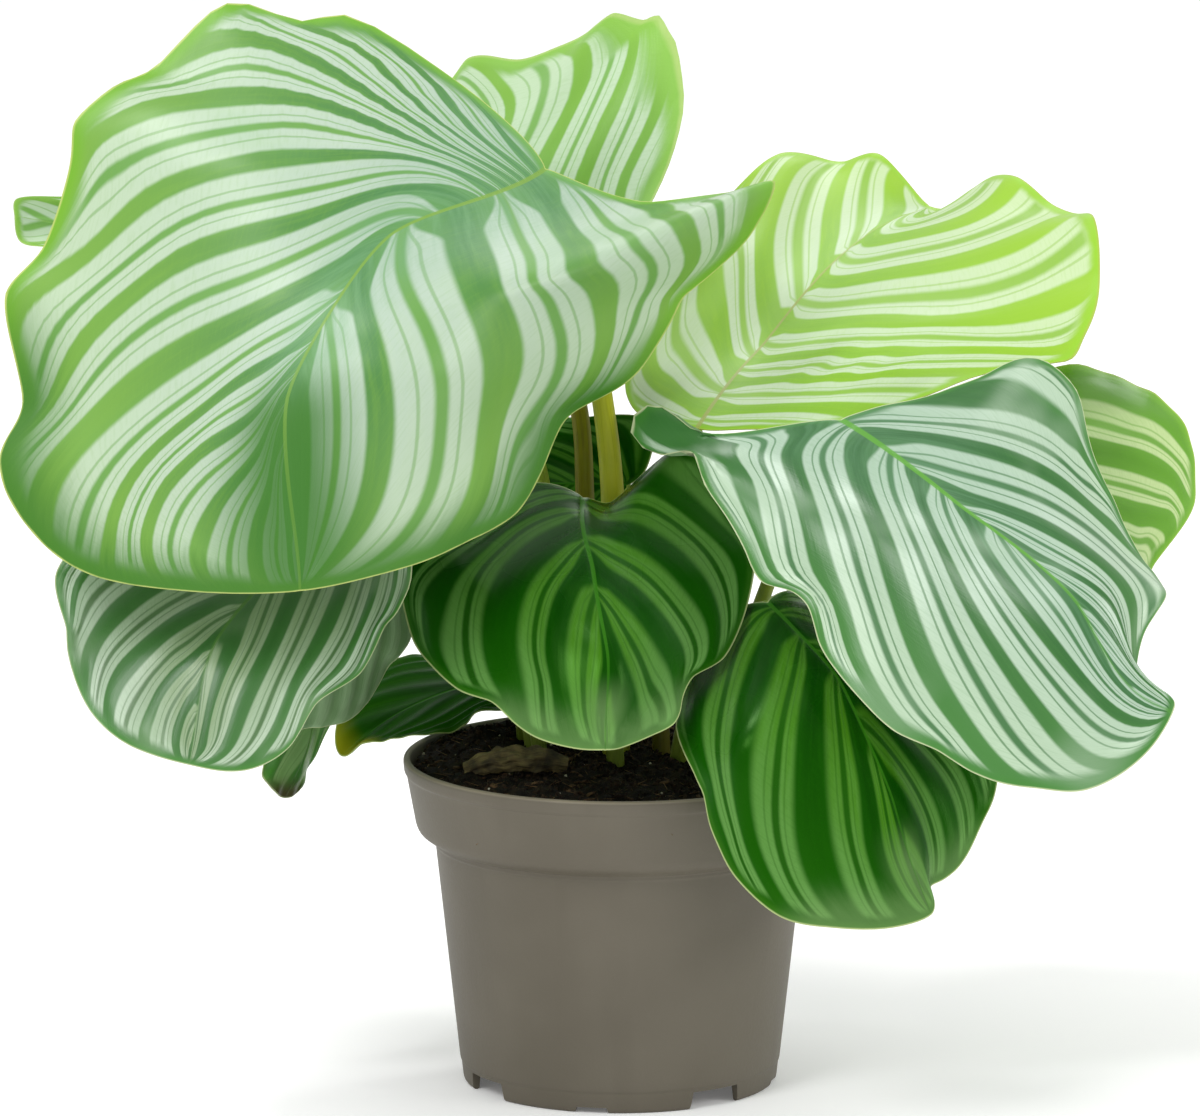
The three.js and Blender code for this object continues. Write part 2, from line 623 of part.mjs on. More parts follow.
      [1.4, -96.3, -72, 139.8], [1.6, -105, -78, 126.8], [1.8, -119.7, -82, 119.8],
    ],
    belly: [[-1, 0.5, 0.5, -87.6, -58, 159.8]],
  },
  low_left_inner: {
    colour: 0x46663f,
    stalkColour: 0x7d8f5a,
    grid: [9, 'medium'],
    waves: [6, 0.8, 0],
    stalkSize: [2.8, 1.6],
    stalk: [[-25.5, -2, 77.8], [-26.5, -2, 112], [-31, -2, 127], [-50, 0, 146], [-71, 3, 167.8]],
    rib: [[0, -80, 4, 181.8], [0.35, -98, -6, 157.8], [0.7, -112, -10, 131.8], [1, -122, -6, 109.8]],
    right: [
      [0.4, -70, 14, 169.8], [0.8, -67.8, 22, 143.2], [1, -75, 22, 131.8], [1.2, -81.4, 20, 119.8],
      [1.4, -89, 16, 115.8], [1.6, -97.4, 10, 114.4], [1.8, -105, 4, 113.8],
    ],
    left: [
      [0.4, -96, -8, 181.8], [0.8, -116, -20, 171.8], [1, -127, -26, 159.8], [1.2, -134, -26, 143.8],
      [1.4, -136, -23, 129.8], [1.6, -134, -16, 117.8], [1.8, -128, -11, 111.8],
    ],
    belly: [[1, 0.4, 0.5, -82, 8, 143.8], [-1, 0.4, 0.5, -112, -18, 155.8]],
  },
  small_drooping: {
    colour: 0x4f7f45,
    stalkColour: 0x7d8f5a,
    grid: [8, 'coarse'],
    waves: [5, 0.5, 0],
    stalkSize: [2.4, 1.3],
    stalk: [
      [-31, 24, 77.8], [-31.5, 20, 105.8], [-33, 14, 119.8], [-40, 16, 139.8], [-60, 28, 150.8], [-79, 37, 150.8],
    ],
    rib: [[0, -88, 36, 145.8], [0.35, -97, 32, 123.8], [0.7, -102, 26, 103.8], [1, -109, 18, 88.8]],
    right: [
      [0.5, -96, 28, 139.8], [1, -108, 20, 121.8], [1.2, -113, 17, 109.8], [1.4, -116, 14, 97.8],
      [1.6, -115, 14, 94.8], [1.8, -112, 15, 90.8],
    ],
    left: [
      [0.5, -80, 38, 139.8], [1, -87, 34, 123.8], [1.1, -92.1, 33, 114.4],
      [1.2, -96.3, 32, 106.6], [1.35, -100.9, 30, 98.3], [1.5, -103.5, 28, 93.7],
      [1.7, -104, 23, 90.3],
    ],
    belly: [],
  },
  low_side: {
    colour: 0x1f4f1b,
    stalkColour: 0x7d8f5a,
    grid: [8, 'coarse'],
    waves: [5, 0.8, 0],
    stalkSize: [2.6, 1.5],
    stalkSteps: 7,
    stalk: [[6, 24, 77.8], [2, 26, 115.8]],
    rib: [[0, -12, 30, 127.8], [0.35, -42, 38, 123.8], [0.7, -70, 44, 112.8], [1, -91.5, 46, 96.8]],
    right: [
      [0.5, -24, 47, 133.8], [0.75, -45, 60, 129.8], [1, -63.5, 70, 124.8], [1.2, -75, 68, 123.8],
      [1.4, -84, 64, 117.8], [1.6, -90, 58, 111.8], [1.8, -93, 52, 103.8],
    ],
    left: [
      [0.5, -24, 20, 117.8], [0.75, -38.5, 20, 116.8], [0.9, -46.5, 21, 116.5],
      [1.05, -53.4, 23, 111.1], [1.2, -60, 25, 108.4], [1.4, -70, 30, 106.3],
      [1.6, -78, 36, 103.8], [1.8, -85, 42, 101.8],
    ],
    belly: [],
  },
  far_right: {
    colour: 0x7cbf4a,
    stalkColour: 0x8a9a4a,
    waves: [7, 0.5, 0],
    grid: [10, 'medium'],
    stalk: [[28, 14, 77.8], [40, 18, 117.8], [66, 24, 162.8], [98, 31, 197.8]],
    rib: [[0, 121, 35, 215.8], [0.35, 140, 12, 203.8], [0.7, 157, -8, 186.4], [1, 168, -25, 166.8]],
    right: [
      [0.4, 108, 22, 197.8], [0.8, 118, 0, 177.8], [1, 124, -12, 167.8], [1.2, 132, -22, 160.8],
      [1.4, 142, -28, 156.8], [1.6, 152, -30, 156.8], [1.8, 161, -29, 160.8],
    ],
    left: [
      [0.4, 140, 45, 225.8], [0.7, 160, 48, 223.8], [0.9, 174.6, 42, 218.5],
      [1, 182, 38, 210.8], [1.2, 186.6, 28, 199.8], [1.4, 186, 15, 187.3], [1.6, 179, 0, 178.8],
      [1.8, 172, -14, 172.8],
    ],
    belly: [[-1, 0.3, 0.5, 166, 25, 211.4], [1, 0.35, 0.5, 128, 2, 189.8]],
  },
  inner_back: {
    colour: 0x27591f,
    stalkColour: 0x7d8f5a,
    grid: [9, 'medium'],
    stalk: [[-4, 31, 77.8], [-1, 35, 127.8], [2, 40, 167.8]],
    rib: [[0, 3, 43, 187.8], [0.35, -32, 56, 185.8], [0.7, -66, 66, 181.8], [1, -98, 72, 169.8]],
    right: [
      [0.2, 8, 43, 191.8], [0.4, 10.5, 44, 199.8], [0.65, 7, 47, 209.8], [0.85, -10, 50, 208.8],
      [1, -30, 54, 209.8], [1.2, -50, 60, 209.8], [1.4, -68, 66, 205.8], [1.6, -82, 70, 196.8],
      [1.8, -92, 73, 184.8],
    ],
    left: [
      [0.4, -2, 46, 169.8], [0.8, -22, 52, 157.8], [1, -38, 58, 153.8], [1.2, -56, 64, 152.8],
      [1.4, -72, 68, 154.8], [1.6, -84, 71, 158.8], [1.8, -93, 72, 163.8],
    ],
    belly: [[1, 0.35, 0.5, -30, 50, 200.8], [-1, 0.35, 0.5, -26, 50, 167.8]],
  },
  back_right: {
    colour: 0x3f8040,
    stalkColour: 0x7d8f5a,
    waves: [7, 2, 0],
    grid: [8, 'coarse'],
    stalk: [[10, 34, 77.8], [14, 38, 127.8], [23, 44, 165.8]],
    rib: [[0, 30, 50, 182.8], [0.35, 58, 85, 187.8], [0.7, 84, 118, 169.8], [1, 100, 138, 137.8]],
    right: [
      [0.4, 58, 48, 177.8], [0.8, 86, 60, 173.8], [1, 104, 74, 165.8], [1.2, 115, 88, 157.8],
      [1.4, 120, 104, 149.8], [1.6, 117, 120, 143.8], [1.8, 109, 131, 139.8],
    ],
    left: [
      [0.4, 22, 70, 179.8], [0.8, 26, 98, 173.8], [1, 34, 114, 165.8], [1.2, 46, 128, 157.8],
      [1.4, 60, 139, 149.8], [1.6, 75, 145, 143.8], [1.8, 88, 144, 139.8],
    ],
    belly: [[1, 0.35, 0.5, 80, 78, 183.8], [-1, 0.35, 0.5, 46, 100, 183.8]],
  },
  back_left: {
    colour: 0x356f35,
    stalkColour: 0x7d8f5a,
    waves: [7, 1.8, 1],
    grid: [8, 'coarse'],
    stalk: [[-15, 40, 77.8], [-12, 48, 112.8], [-7, 57, 137.8]],
    rib: [[0, -4, 64, 149.8], [0.35, -22, 92, 155.8], [0.7, -40, 118, 143.8], [1, -56, 136, 115.8]],
    right: [
      [0.4, 12, 76, 155.8], [0.8, 14, 104, 153.8], [1, 6, 120, 147.8], [1.2, -4, 132, 139.8],
      [1.4, -18, 140, 131.8], [1.6, -32, 143, 124.8], [1.8, -47, 141, 119.8],
    ],
    left: [
      [0.4, -22, 76, 148.8], [0.8, -46, 90, 144.8], [1, -56, 100, 139.8], [1.2, -62, 112, 133.8],
      [1.4, -63, 122, 127.8], [1.6, -62, 129, 121.8], [1.8, -60, 133, 118.8],
    ],
    belly: [[1, 0.35, 0.5, -2, 104, 157.8], [-1, 0.35, 0.5, -36, 92, 151.8]],
  },
  back_low: {
    colour: 0x2f6a2c,
    stalkColour: 0x7d8f5a,
    grid: [8, 'coarse'],
    waves: [6, 1.2, 0.4],
    stalkSteps: 8,
    stalk: [[20, 25, 77.8], [23, 28, 102.8], [29, 34, 125.8]],
    rib: [[0, 34, 38, 137.8], [0.35, 60, 58, 143.8], [0.7, 86, 78, 131.8], [1, 104, 92, 103.8]],
    right: [
      [0.4, 54, 30, 139.8], [0.8, 82, 36, 135.8], [1, 98, 44, 129.8], [1.2, 109, 56, 121.8],
      [1.4, 115, 68, 114.8], [1.6, 115, 78, 108.8], [1.8, 111, 86, 104.8],
    ],
    left: [
      [0.4, 32, 60, 140.8], [0.8, 42, 82, 135.8], [1, 52, 94, 129.8], [1.2, 64, 102, 121.8],
      [1.4, 76, 106, 113.8], [1.6, 88, 106, 107.8], [1.8, 97, 100, 103.8],
    ],
    belly: [[1, 0.35, 0.5, 78, 54, 144.8], [-1, 0.35, 0.5, 56, 78, 144.8]],
  },
};

// ---- assembly -----------------------------------------------------------------------------

const plant = new THREE.Group();
plant.position.set(potAxis[0], potAxis[1], 0);

function addPiece(name, solid, color, roughness) {
  const material = new THREE.MeshStandardMaterial({ color, roughness, metalness: 0 });
  const piece = new THREE.Mesh(toGeometry(solid), material);
  piece.name = name;
  plant.add(piece);
}

// A dried leaf sheath that lies on the soil at the front left, shaped to the soil under it.
function drySheath(ground) {
  const route = [[-50, -20, 106.5], [-41, -21, 109.5], [-30, -21, 110.5], [-17, -20, 108.5]];
  const curve = new THREE.CatmullRomCurve3(route.map((p) => new THREE.Vector3(...p)));
  const bar = taperedBar(curve, (along) => 1.4 + 2.6 * Math.sin(Math.PI * (0.1 + 0.8 * along)), 8, 8);
  return toSolid(bar).subtract(ground.translate([0, 0, clearance]));
}

let soil = soilSolid();
addPiece('pot', potSolid(), 0x8b867a, 0.75);

const stalks = [];
for (const [place, leaf] of Object.entries(leaves)) {
  const surface = leafSurface(leaf);
  const end = stalkEnd(leaf, surface);
  const stalk = stalkSolid(leaf, end, 0);
  const room = stalkSolid(leaf, end, clearance);
  const blade = toSolid(bladeSheet(leaf, surface)).subtract(room);
  addPiece(`blade_${place}`, largestPiece(blade), leaf.colour, 0.4);
  addPiece(`petiole_${place}`, stalk, leaf.stalkColour, 0.45);
  stalks.push(room);
}
stalks.forEach((room) => {
  soil = soil.subtract(room);
});
addPiece('soil', largestPiece(soil), 0x2b211a, 0.95);
addPiece('dried_sheath', largestPiece(drySheath(soil)), 0x7a6a45, 0.85);

export default plant;
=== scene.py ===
# A round-leaved prayer plant (calathea) in a plain nursery pot: the looks, built round the fixed frame.
import json
import math

import bmesh
import bpy
import numpy as np
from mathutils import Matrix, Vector, noise

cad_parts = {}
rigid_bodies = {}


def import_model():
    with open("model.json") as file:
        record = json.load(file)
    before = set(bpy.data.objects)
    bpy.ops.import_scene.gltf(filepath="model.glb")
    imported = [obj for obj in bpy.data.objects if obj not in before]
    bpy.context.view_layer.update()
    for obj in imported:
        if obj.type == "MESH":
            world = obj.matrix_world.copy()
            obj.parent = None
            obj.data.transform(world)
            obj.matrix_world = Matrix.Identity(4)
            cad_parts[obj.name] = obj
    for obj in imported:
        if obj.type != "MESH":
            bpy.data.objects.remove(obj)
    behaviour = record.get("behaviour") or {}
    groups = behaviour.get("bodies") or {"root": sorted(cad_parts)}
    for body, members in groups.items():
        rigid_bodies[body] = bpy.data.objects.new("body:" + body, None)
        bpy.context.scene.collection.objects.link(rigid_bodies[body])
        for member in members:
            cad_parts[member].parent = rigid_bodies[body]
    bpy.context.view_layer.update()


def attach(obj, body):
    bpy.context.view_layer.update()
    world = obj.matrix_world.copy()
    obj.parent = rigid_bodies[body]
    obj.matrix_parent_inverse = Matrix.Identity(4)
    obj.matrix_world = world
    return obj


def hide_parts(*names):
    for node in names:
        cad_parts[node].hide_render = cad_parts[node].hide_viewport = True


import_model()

mm = 0.001
fullTurn = 2 * math.pi
potAxis = np.array((6.0, -14.0, 0.0))  # mm, from the middle of the plant's outline
print("frame loaded")

# The photo's view. Places in it are pixels of its 1200 x 1116 frame.
photoView = {
    "tilt": 11.4,  # degrees looked down
    "distance": 4000.0,  # mm
    "pixelsPerMm": 3.07,
    "middle": (600.0, 558.0),  # of the frame
    "aim": (-6.5, 168.8),  # what the middle looks at: mm right of the pot's axis, and up across the view
    "frameWidth": 1200.0,
    "sensor": 36.0,
    "reach": 50,  # metres that the camera sees
}


def photoPlace(points):  # where points in mm, from the pot's axis, show in the photo
    tilt = math.radians(photoView["tilt"])
    x, y, z = points[..., 0], points[..., 1], points[..., 2]
    up = z * math.cos(tilt) + y * math.sin(tilt)
    depth = y * math.cos(tilt) - z * math.sin(tilt)
    size = photoView["pixelsPerMm"] * photoView["distance"] / (photoView["distance"] + depth)
    across = photoView["middle"][0] + size * (x - photoView["aim"][0])
    down = photoView["middle"][1] - size * (up - photoView["aim"][1])
    return np.stack([across, down], -1)


def setCamera():
    tilt = math.radians(photoView["tilt"])
    aimAcross, aimUp = photoView["aim"]
    depth = -photoView["distance"]
    place = np.array((
        aimAcross,
        depth * math.cos(tilt) + aimUp * math.sin(tilt),
        aimUp * math.cos(tilt) - depth * math.sin(tilt),
    ))
    data = bpy.data.cameras.new("camera")
    data.sensor_width = photoView["sensor"]
    focus = photoView["pixelsPerMm"] * photoView["distance"]
    data.lens = focus / photoView["frameWidth"] * photoView["sensor"]
    data.clip_end = photoView["reach"]
    camera = bpy.data.objects.new("camera", data)
    camera.location = (place + potAxis) * mm
    camera.rotation_euler = (math.radians(90 - photoView["tilt"]), 0, 0)
    bpy.context.collection.objects.link(camera)
    bpy.context.scene.camera = camera


def meshPiece(name, points, faces, materials, faceMaterials=None, smooth=True, origin=potAxis):
    mesh = bpy.data.meshes.new(name)
    mesh.from_pydata(((np.asarray(points) + origin) * mm).tolist(), [], faces)
    for material in materials:
        mesh.materials.append(material)
    if faceMaterials is not None:
        mesh.polygons.foreach_set("material_index", faceMaterials)
    shadeFaces(mesh, smooth)
    piece = bpy.data.objects.new(name, mesh)
    bpy.context.collection.objects.link(piece)
    return piece


def shadeFaces(mesh, smooth):
    mesh.polygons.foreach_set("use_smooth", [smooth] * len(mesh.polygons))


def sharpFrom(piece, degrees):  # edges that turn by more stay sharp
    piece.data.set_sharp_from_angle(angle=math.radians(degrees))


def pointValues(piece, name, values):
    layer = piece.data.attributes.new(name, "FLOAT", "POINT")
    layer.data.foreach_set("value", np.asarray(values, dtype=np.float32))


def applied(piece):  # the piece as its modifiers leave it, as a plain mesh
    depsgraph = bpy.context.evaluated_depsgraph_get()
    mesh = bpy.data.meshes.new_from_object(piece.evaluated_get(depsgraph))
    piece.modifiers.clear()
    old = piece.data
    piece.data = mesh
    bpy.data.meshes.remove(old)
    mesh.name = piece.name
    return piece


def dressed(piece, node):
    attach(piece, "root")
    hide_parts(node)
    return piece


# What the materials are made with. Most take the node tree first, and give back a socket.


def shade(red, green, blue):  # a colour by its display values, 0 to 255
    def linear(value):
        part = value / 255
        return part / 12.92 if part <= 0.04045 else ((part + 0.055) / 1.055) ** 2.4
    return (linear(red), linear(green), linear(blue), 1.0)


def plug(tree, socket, value):
    if isinstance(value, bpy.types.NodeSocket):
        tree.links.new(value, socket)
    else:
        socket.default_value = value


def calc(tree, operation, *values):
    node = tree.nodes.new("ShaderNodeMath")
    node.operation = operation
    for socket, value in zip(node.inputs, values):
        plug(tree, socket, value)
    return node.outputs[0]


def fade(tree, value, start, stop, low=0.0, high=1.0):
    node = tree.nodes.new("ShaderNodeMapRange")
    node.interpolation_type = "SMOOTHSTEP"
    given = {"Value": value, "From Min": start, "From Max": stop, "To Min": low, "To Max": high}
    for key, item in given.items():
        plug(tree, node.inputs[key], item)
    return node.outputs[0]


def mixed(tree, factor, first, second):  # two colours
    node = tree.nodes.new("ShaderNodeMix")
    node.data_type = "RGBA"
    plug(tree, node.inputs[0], factor)
    plug(tree, node.inputs[6], first)
    plug(tree, node.inputs[7], second)
    return node.outputs[2]


def coated(tree, colour, coats):  # the colour under coats, each a factor and a colour
    for factor, coat in coats:
        colour = mixed(tree, factor, colour, coat)
    return colour


def scaled(tree, vector, x, y, z=1.0):
    node = tree.nodes.new("ShaderNodeVectorMath")
    node.operation = "MULTIPLY"
    plug(tree, node.inputs[0], vector)
    node.inputs[1].default_value = (x, y, z)
    return node.outputs[0]


def grain(tree, vector, scale, detail=2.0, roughness=0.5):
    node = tree.nodes.new("ShaderNodeTexNoise")
    plug(tree, node.inputs["Vector"], vector)
    node.inputs["Scale"].default_value = scale
    node.inputs["Detail"].default_value = detail
    node.inputs["Roughness"].default_value = roughness
    return node.outputs[0]


def ownMap(tree, name):
    node = tree.nodes.new("ShaderNodeUVMap")
    node.uv_map = name
    return node.outputs[0]


def ownValue(tree, name):
    node = tree.nodes.new("ShaderNodeAttribute")
    node.attribute_name = name
    return node.outputs["Fac"]


def parts(tree, vector):
    node = tree.nodes.new("ShaderNodeSeparateXYZ")
    plug(tree, node.inputs[0], vector)
    return node.outputs[0], node.outputs[1], node.outputs[2]


def joined(tree, x, y):  # a vector
    node = tree.nodes.new("ShaderNodeCombineXYZ")
    plug(tree, node.inputs[0], x)
    plug(tree, node.inputs[1], y)
    return node.outputs[0]


def objectPlace(tree):
    return tree.nodes.new("ShaderNodeTexCoord").outputs["Object"]


def newFinish(name):
    material = bpy.data.materials.new(name)
    material.use_nodes = True
    tree = material.node_tree
    return material, tree, tree.nodes["Principled BSDF"]


def paint(tree, shader, colour, rough, height=None, depth=0.0, strength=1.0):  # depth in metres
    plug(tree, shader.inputs["Base Color"], colour)
    plug(tree, shader.inputs["Roughness"], rough)
    if height is not None:
        node = tree.nodes.new("ShaderNodeBump")
        node.inputs["Strength"].default_value = strength
        node.inputs["Distance"].default_value = depth
        plug(tree, node.inputs["Height"], height)
        plug(tree, shader.inputs["Normal"], node.outputs["Normal"])


def setShine(shader, level, tint=None):
    shader.inputs["Specular IOR Level"].default_value = level
    if tint is not None:
        shader.inputs["Specular Tint"].default_value = tint


# The flat leaf is one long. s runs from the base vein to the tip, and t along a vein from the midrib
# to the margin. Each vein is a cubic curve with two handles.
flatLeaf = {
    "halfWidth": 0.52,
    "widestAt": 0.45,  # where the base vein ends
    "crowding": 2.5,  # of the veins' feet towards the base
    "turning": 0.95,  # how evenly their ends go round the margin
    "leaving": (30, 84, 1.1),  # degrees from the midrib at the tip, how many more at the base, their fade
    "arriving": -38,  # degrees that the last vein meets the margin at
    "firstHandle": 0.42,  # of the vein's reach
    "lastHandle": (0.34, 0.42, 0.16),  # of its reach at the tip, how much more at the base, and over what s
}


def flatPoint(side, s, t):
    s, t = np.asarray(s, float), np.asarray(t, float)
    wide, low = flatLeaf["halfWidth"], flatLeaf["widestAt"]
    onRib = s ** flatLeaf["crowding"]
    turn = (math.pi / 2) * s ** flatLeaf["turning"]
    marginX = wide * np.cos(turn)
    marginY = low + (1 - low) * np.sin(turn)
    reach = np.hypot(marginX, marginY - onRib)
    least, more, power = flatLeaf["leaving"]
    leave = np.radians(least + more * (1 - s) ** power)
    arrive = np.radians(flatLeaf["arriving"] * s)
    least, more, over = flatLeaf["lastHandle"]
    late = (least + more * np.exp(-s / over)) * reach
    early = flatLeaf["firstHandle"] * reach
    x1, y1 = early * np.sin(leave), onRib + early * np.cos(leave)
    x2, y2 = marginX - late * np.sin(arrive), marginY - late * np.cos(arrive)
    k0, k1, k2, k3 = (1 - t) ** 3, 3 * t * (1 - t) ** 2, 3 * t * t * (1 - t), t ** 3
    x = side * (k1 * x1 + k2 * x2 + k3 * marginX)
    y = k0 * onRib + k1 * y1 + k2 * y2 + k3 * marginY
    return np.stack([x, y], -1)


def flatMargin(side, q):  # q is 0 at the base, 1 where the base vein ends and 2 at the tip
    return flatPoint(side, 0, q) if q <= 1 else flatPoint(side, q - 1, 1)


def plateKernel(square):
    return np.where(square > 0, square * np.log(np.maximum(square, 1e-300)), 0)


def squares(first, second):  # of the distances from each of the first points to each of the second
    return ((first[..., None, :] - second) ** 2).sum(-1)


def bentPlate(flats, places, slack=0.0):  # the smoothest surface through the places
    held, values = np.array(flats, float), np.array(places, float)
    count = len(held)
    matrix = np.zeros((count + 3, count + 3))
    matrix[:count, :count] = plateKernel(squares(held, held)) + slack * np.eye(count)
    matrix[:count, count] = 1
    matrix[:count, count + 1:] = held
    matrix[count:, :count] = matrix[:count, count:].T
    weights = np.linalg.solve(matrix, np.vstack([values, np.zeros((3, values.shape[1]))]))

    def surface(flat):
        flat = np.asarray(flat)
        kernel = plateKernel(squares(flat, held))
        return kernel @ weights[:count] + weights[count] + flat @ weights[count + 1:]
    return surface


def leafSurface(leaf):
    flats, places = [], []
    for v, *place in leaf["rib"]:
        flats.append((0, v))
        places.append(place)
    for side, key in ((1, "right"), (-1, "left")):
        for q, *place in leaf[key]:
            flats.append(flatMargin(side, q))
            places.append(place)
    for side, s, t, *place in leaf.get("belly", []):
        flats.append(flatPoint(side, s, t))
        places.append(place)
    return bentPlate(flats, places)


def surfaceNormal(surface, flat, step=0.004):
    right, ahead = np.array((step, 0)), np.array((0, step))
    across = surface(flat + right) - surface(flat - right)
    along = surface(flat + ahead) - surface(flat - ahead)
    normal = np.cross(across, along)
    return normal / np.linalg.norm(normal, axis=-1, keepdims=True)


blade = {
    "halfThickness": 0.3,  # mm
    "thinning": (0.45, 2.0),  # how much thinner the margin is, and over how many mm
    "rows": 110,
    "columns": 36,  # on each side of the midrib
    "crowding": 0.6,  # of the columns at the midrib and the margin
    "pleat": 0.4,  # mm, how far the bands bulge
    "groove": (0.35, 1.1),  # along the midrib on top: mm deep, and its width in ribs
    "keel": 2.6,  # mm, along the midrib underneath
    "rib": (1.1, 0.3),  # mm wide: how much more at the base than at the tip, and at the tip
    "ruffle": (1.0, 9, 14),  # at the margin: mm, how fine, and mm in from it
    "waves": (7, 1.6, 0),  # at the margin: how many, mm, and where they start
    "tipLift": 0.2,  # mm, half the tip's thickness
    "farSide": 40,  # bands added to the left side's count, so that its bands differ from the right's
}

bandReading = {  # how the places read along the bands become a count over the whole leaf
    "rows": 260,
    "columns": 90,
    "lastRow": 0.995,
    "turnedAway": 0.02,  # what faces the camera less isn't matched
    "slack": 0.01,
    "squeeze": 0.5,  # of t against s
    "trendRows": (0.02, 0.35, 0.65, 0.97),
    "trendColumns": (0.03, 0.25, 0.49),
    "trendGap": 0.16,  # from the places read, beyond which the bands keep the leaf's trend
    "spacing": (0.3, 6.4),  # where nothing was read: the first band, and how many
}


def smoothed(value, start, stop):
    part = np.clip((value - start) / (stop - start), 0, 1)
    return part * part * (3 - 2 * part)


def bandPlaces(lines, side, surface):  # where in the flat leaf the lines read in the photo lie
    reading, squeeze = bandReading, bandReading["squeeze"]
    rows = np.linspace(0, reading["lastRow"], reading["rows"])
    s, t = np.meshgrid(rows, np.linspace(0, 1, reading["columns"]), indexing="ij")
    flat = flatPoint(side, s, t)
    tilt = math.radians(photoView["tilt"])
    facing = surfaceNormal(surface, flat) @ np.array((0, -math.cos(tilt), math.sin(tilt)))
    seen = photoPlace(surface(flat))
    seen[facing < reading["turnedAway"]] = 1e6
    held, values = [], []
    for band, line in lines:
        for place in line:
            nearest = ((seen - np.array(place)) ** 2).sum(-1).argmin()
            held.append((s.flat[nearest], squeeze * t.flat[nearest]))
            values.append((band,))
    held, keep = np.unique(np.round(held, 4), axis=0, return_index=True)
    return held, np.array(values)[keep]


def bandPhase(leaf, side, surface):  # a whole number along the middle of each dark band
    lines = leaf["bands"].get(side)
    if not lines:
        first, count = leaf.get("spacing", bandReading["spacing"])
        return lambda s, t: first + count * s + 0 * t
    held, values = bandPlaces(lines, side, surface)
    trend = np.linalg.lstsq(np.column_stack([np.ones(len(held)), held]), values, rcond=None)[0]
    far = np.array([(s, t) for s in bandReading["trendRows"] for t in bandReading["trendColumns"]])
    far = far[np.sqrt(squares(far, held)).min(-1) > bandReading["trendGap"]]
    values = np.vstack([values, np.column_stack([np.ones(len(far)), far]) @ trend])
    fit = bentPlate(np.vstack([held, far]), values, slack=bandReading["slack"])
    return lambda s, t: fit(np.stack([s, bandReading["squeeze"] * t], -1))[..., 0]


def marginWave(leaf, flat):  # mm that the margin's waves lift the blade
    count, height, start = leaf.get("waves", blade["waves"])
    low = flatLeaf["widestAt"]
    x, y = flat[..., 0], flat[..., 1] - low
    out = np.hypot(x / flatLeaf["halfWidth"], y / (1 - low))
    return height * np.minimum(out, 1.05) ** 6 * np.sin(count * np.arctan2(x, y) + start)


def ribLength(surface):  # mm
    points = surface(np.stack([np.zeros(60), np.linspace(0, 1, 60)], -1))
    return np.linalg.norm(np.diff(points, axis=0), axis=-1).sum()


def keelDepth(leaf):
    return leaf.get("keel", blade["keel"])


def bladeGrid(leaf, surface):  # the places that make one layer, and what is known of each
    rows, half = blade["rows"], blade["columns"]
    even = np.linspace(0, 1, half + 1)
    steps = even - blade["crowding"] * np.sin(fullTurn * even) / fullTurn
    column = np.arange(-half, half + 1)
    s, t = np.meshgrid(np.arange(rows) / rows, steps[np.abs(column)], indexing="ij")
    side = np.broadcast_to(np.where(column < 0, -1, 1), s.shape)
    flat = flatPoint(side, s, t)
    leftPhase = bandPhase(leaf, -1, surface)
    phase = np.where(side > 0, bandPhase(leaf, 1, surface)(s, t), leftPhase(s, t))
    length = ribLength(surface)
    margin = np.array([flatMargin(1, q) for q in np.linspace(0, 2, 700)])
    folded = np.stack([np.abs(flat[..., 0]), flat[..., 1]], -1)
    edge = np.sqrt(squares(folded, margin).min(-1)) * length  # mm from the margin
    wider, least = blade["rib"]
    ribWidth = wider * (1 - flat[..., 1].clip(0, 1)) ** 0.7 + least
    rib = np.abs(flat[..., 0]) * length / ribWidth  # from the midrib, in its widths
    ribPhase = leftPhase(s[:, half], t[:, half])  # the midrib has two counts, one for each side
    return dict(
        s=s, t=t, flat=flat, phase=phase, ribPhase=ribPhase,
        length=length, edge=edge, rib=rib, ribWidth=ribWidth,
    )


def bladeLayers(leaf, surface, grid):  # the points of its top and of its underside
    s, flat, edge, rib = grid["s"], grid["flat"], grid["edge"], grid["rib"]
    points = surface(flat)
    normals = surfaceNormal(surface, flat)
    inside = smoothed(grid["t"], 0.04, 0.3) * smoothed(edge, 1, 8)
    lift = marginWave(leaf, flat) + blade["pleat"] * inside * np.cos(fullTurn * grid["phase"])
    height, fineness, reach = blade["ruffle"]
    places = flat.reshape(-1, 2) * fineness
    ruffle = [noise.noise(Vector((x, y, grid["length"]))) for x, y in places]
    lift += height * np.array(ruffle).reshape(s.shape) * smoothed(edge, reach, 0)
    depth, width = blade["groove"]
    groove = depth * np.exp(-(rib / width) ** 2) * (1 - s) ** 0.5
    keelWidth = 1.0 + 0.9 * (1 - s)
    keel = keelDepth(leaf) * (1 - s) ** 0.8 * np.exp(-(rib * grid["ribWidth"] / keelWidth) ** 2)
    thinner, over = blade["thinning"]
    thin = blade["halfThickness"] * (1 - thinner + thinner * smoothed(edge, 0, over))
    top = points + normals * (lift + thin - groove)[..., None]
    under = points + normals * (lift - thin - keel)[..., None]
    tipFlat = np.array((0.0, 1.0))
    tip = surface(tipFlat)
    tipLift = surfaceNormal(surface, tipFlat - (0, 0.004)) * blade["tipLift"]
    top = np.vstack([top.reshape(-1, 3), [tip + tipLift]])
    return top, np.vstack([under.reshape(-1, 3), [tip - tipLift]])


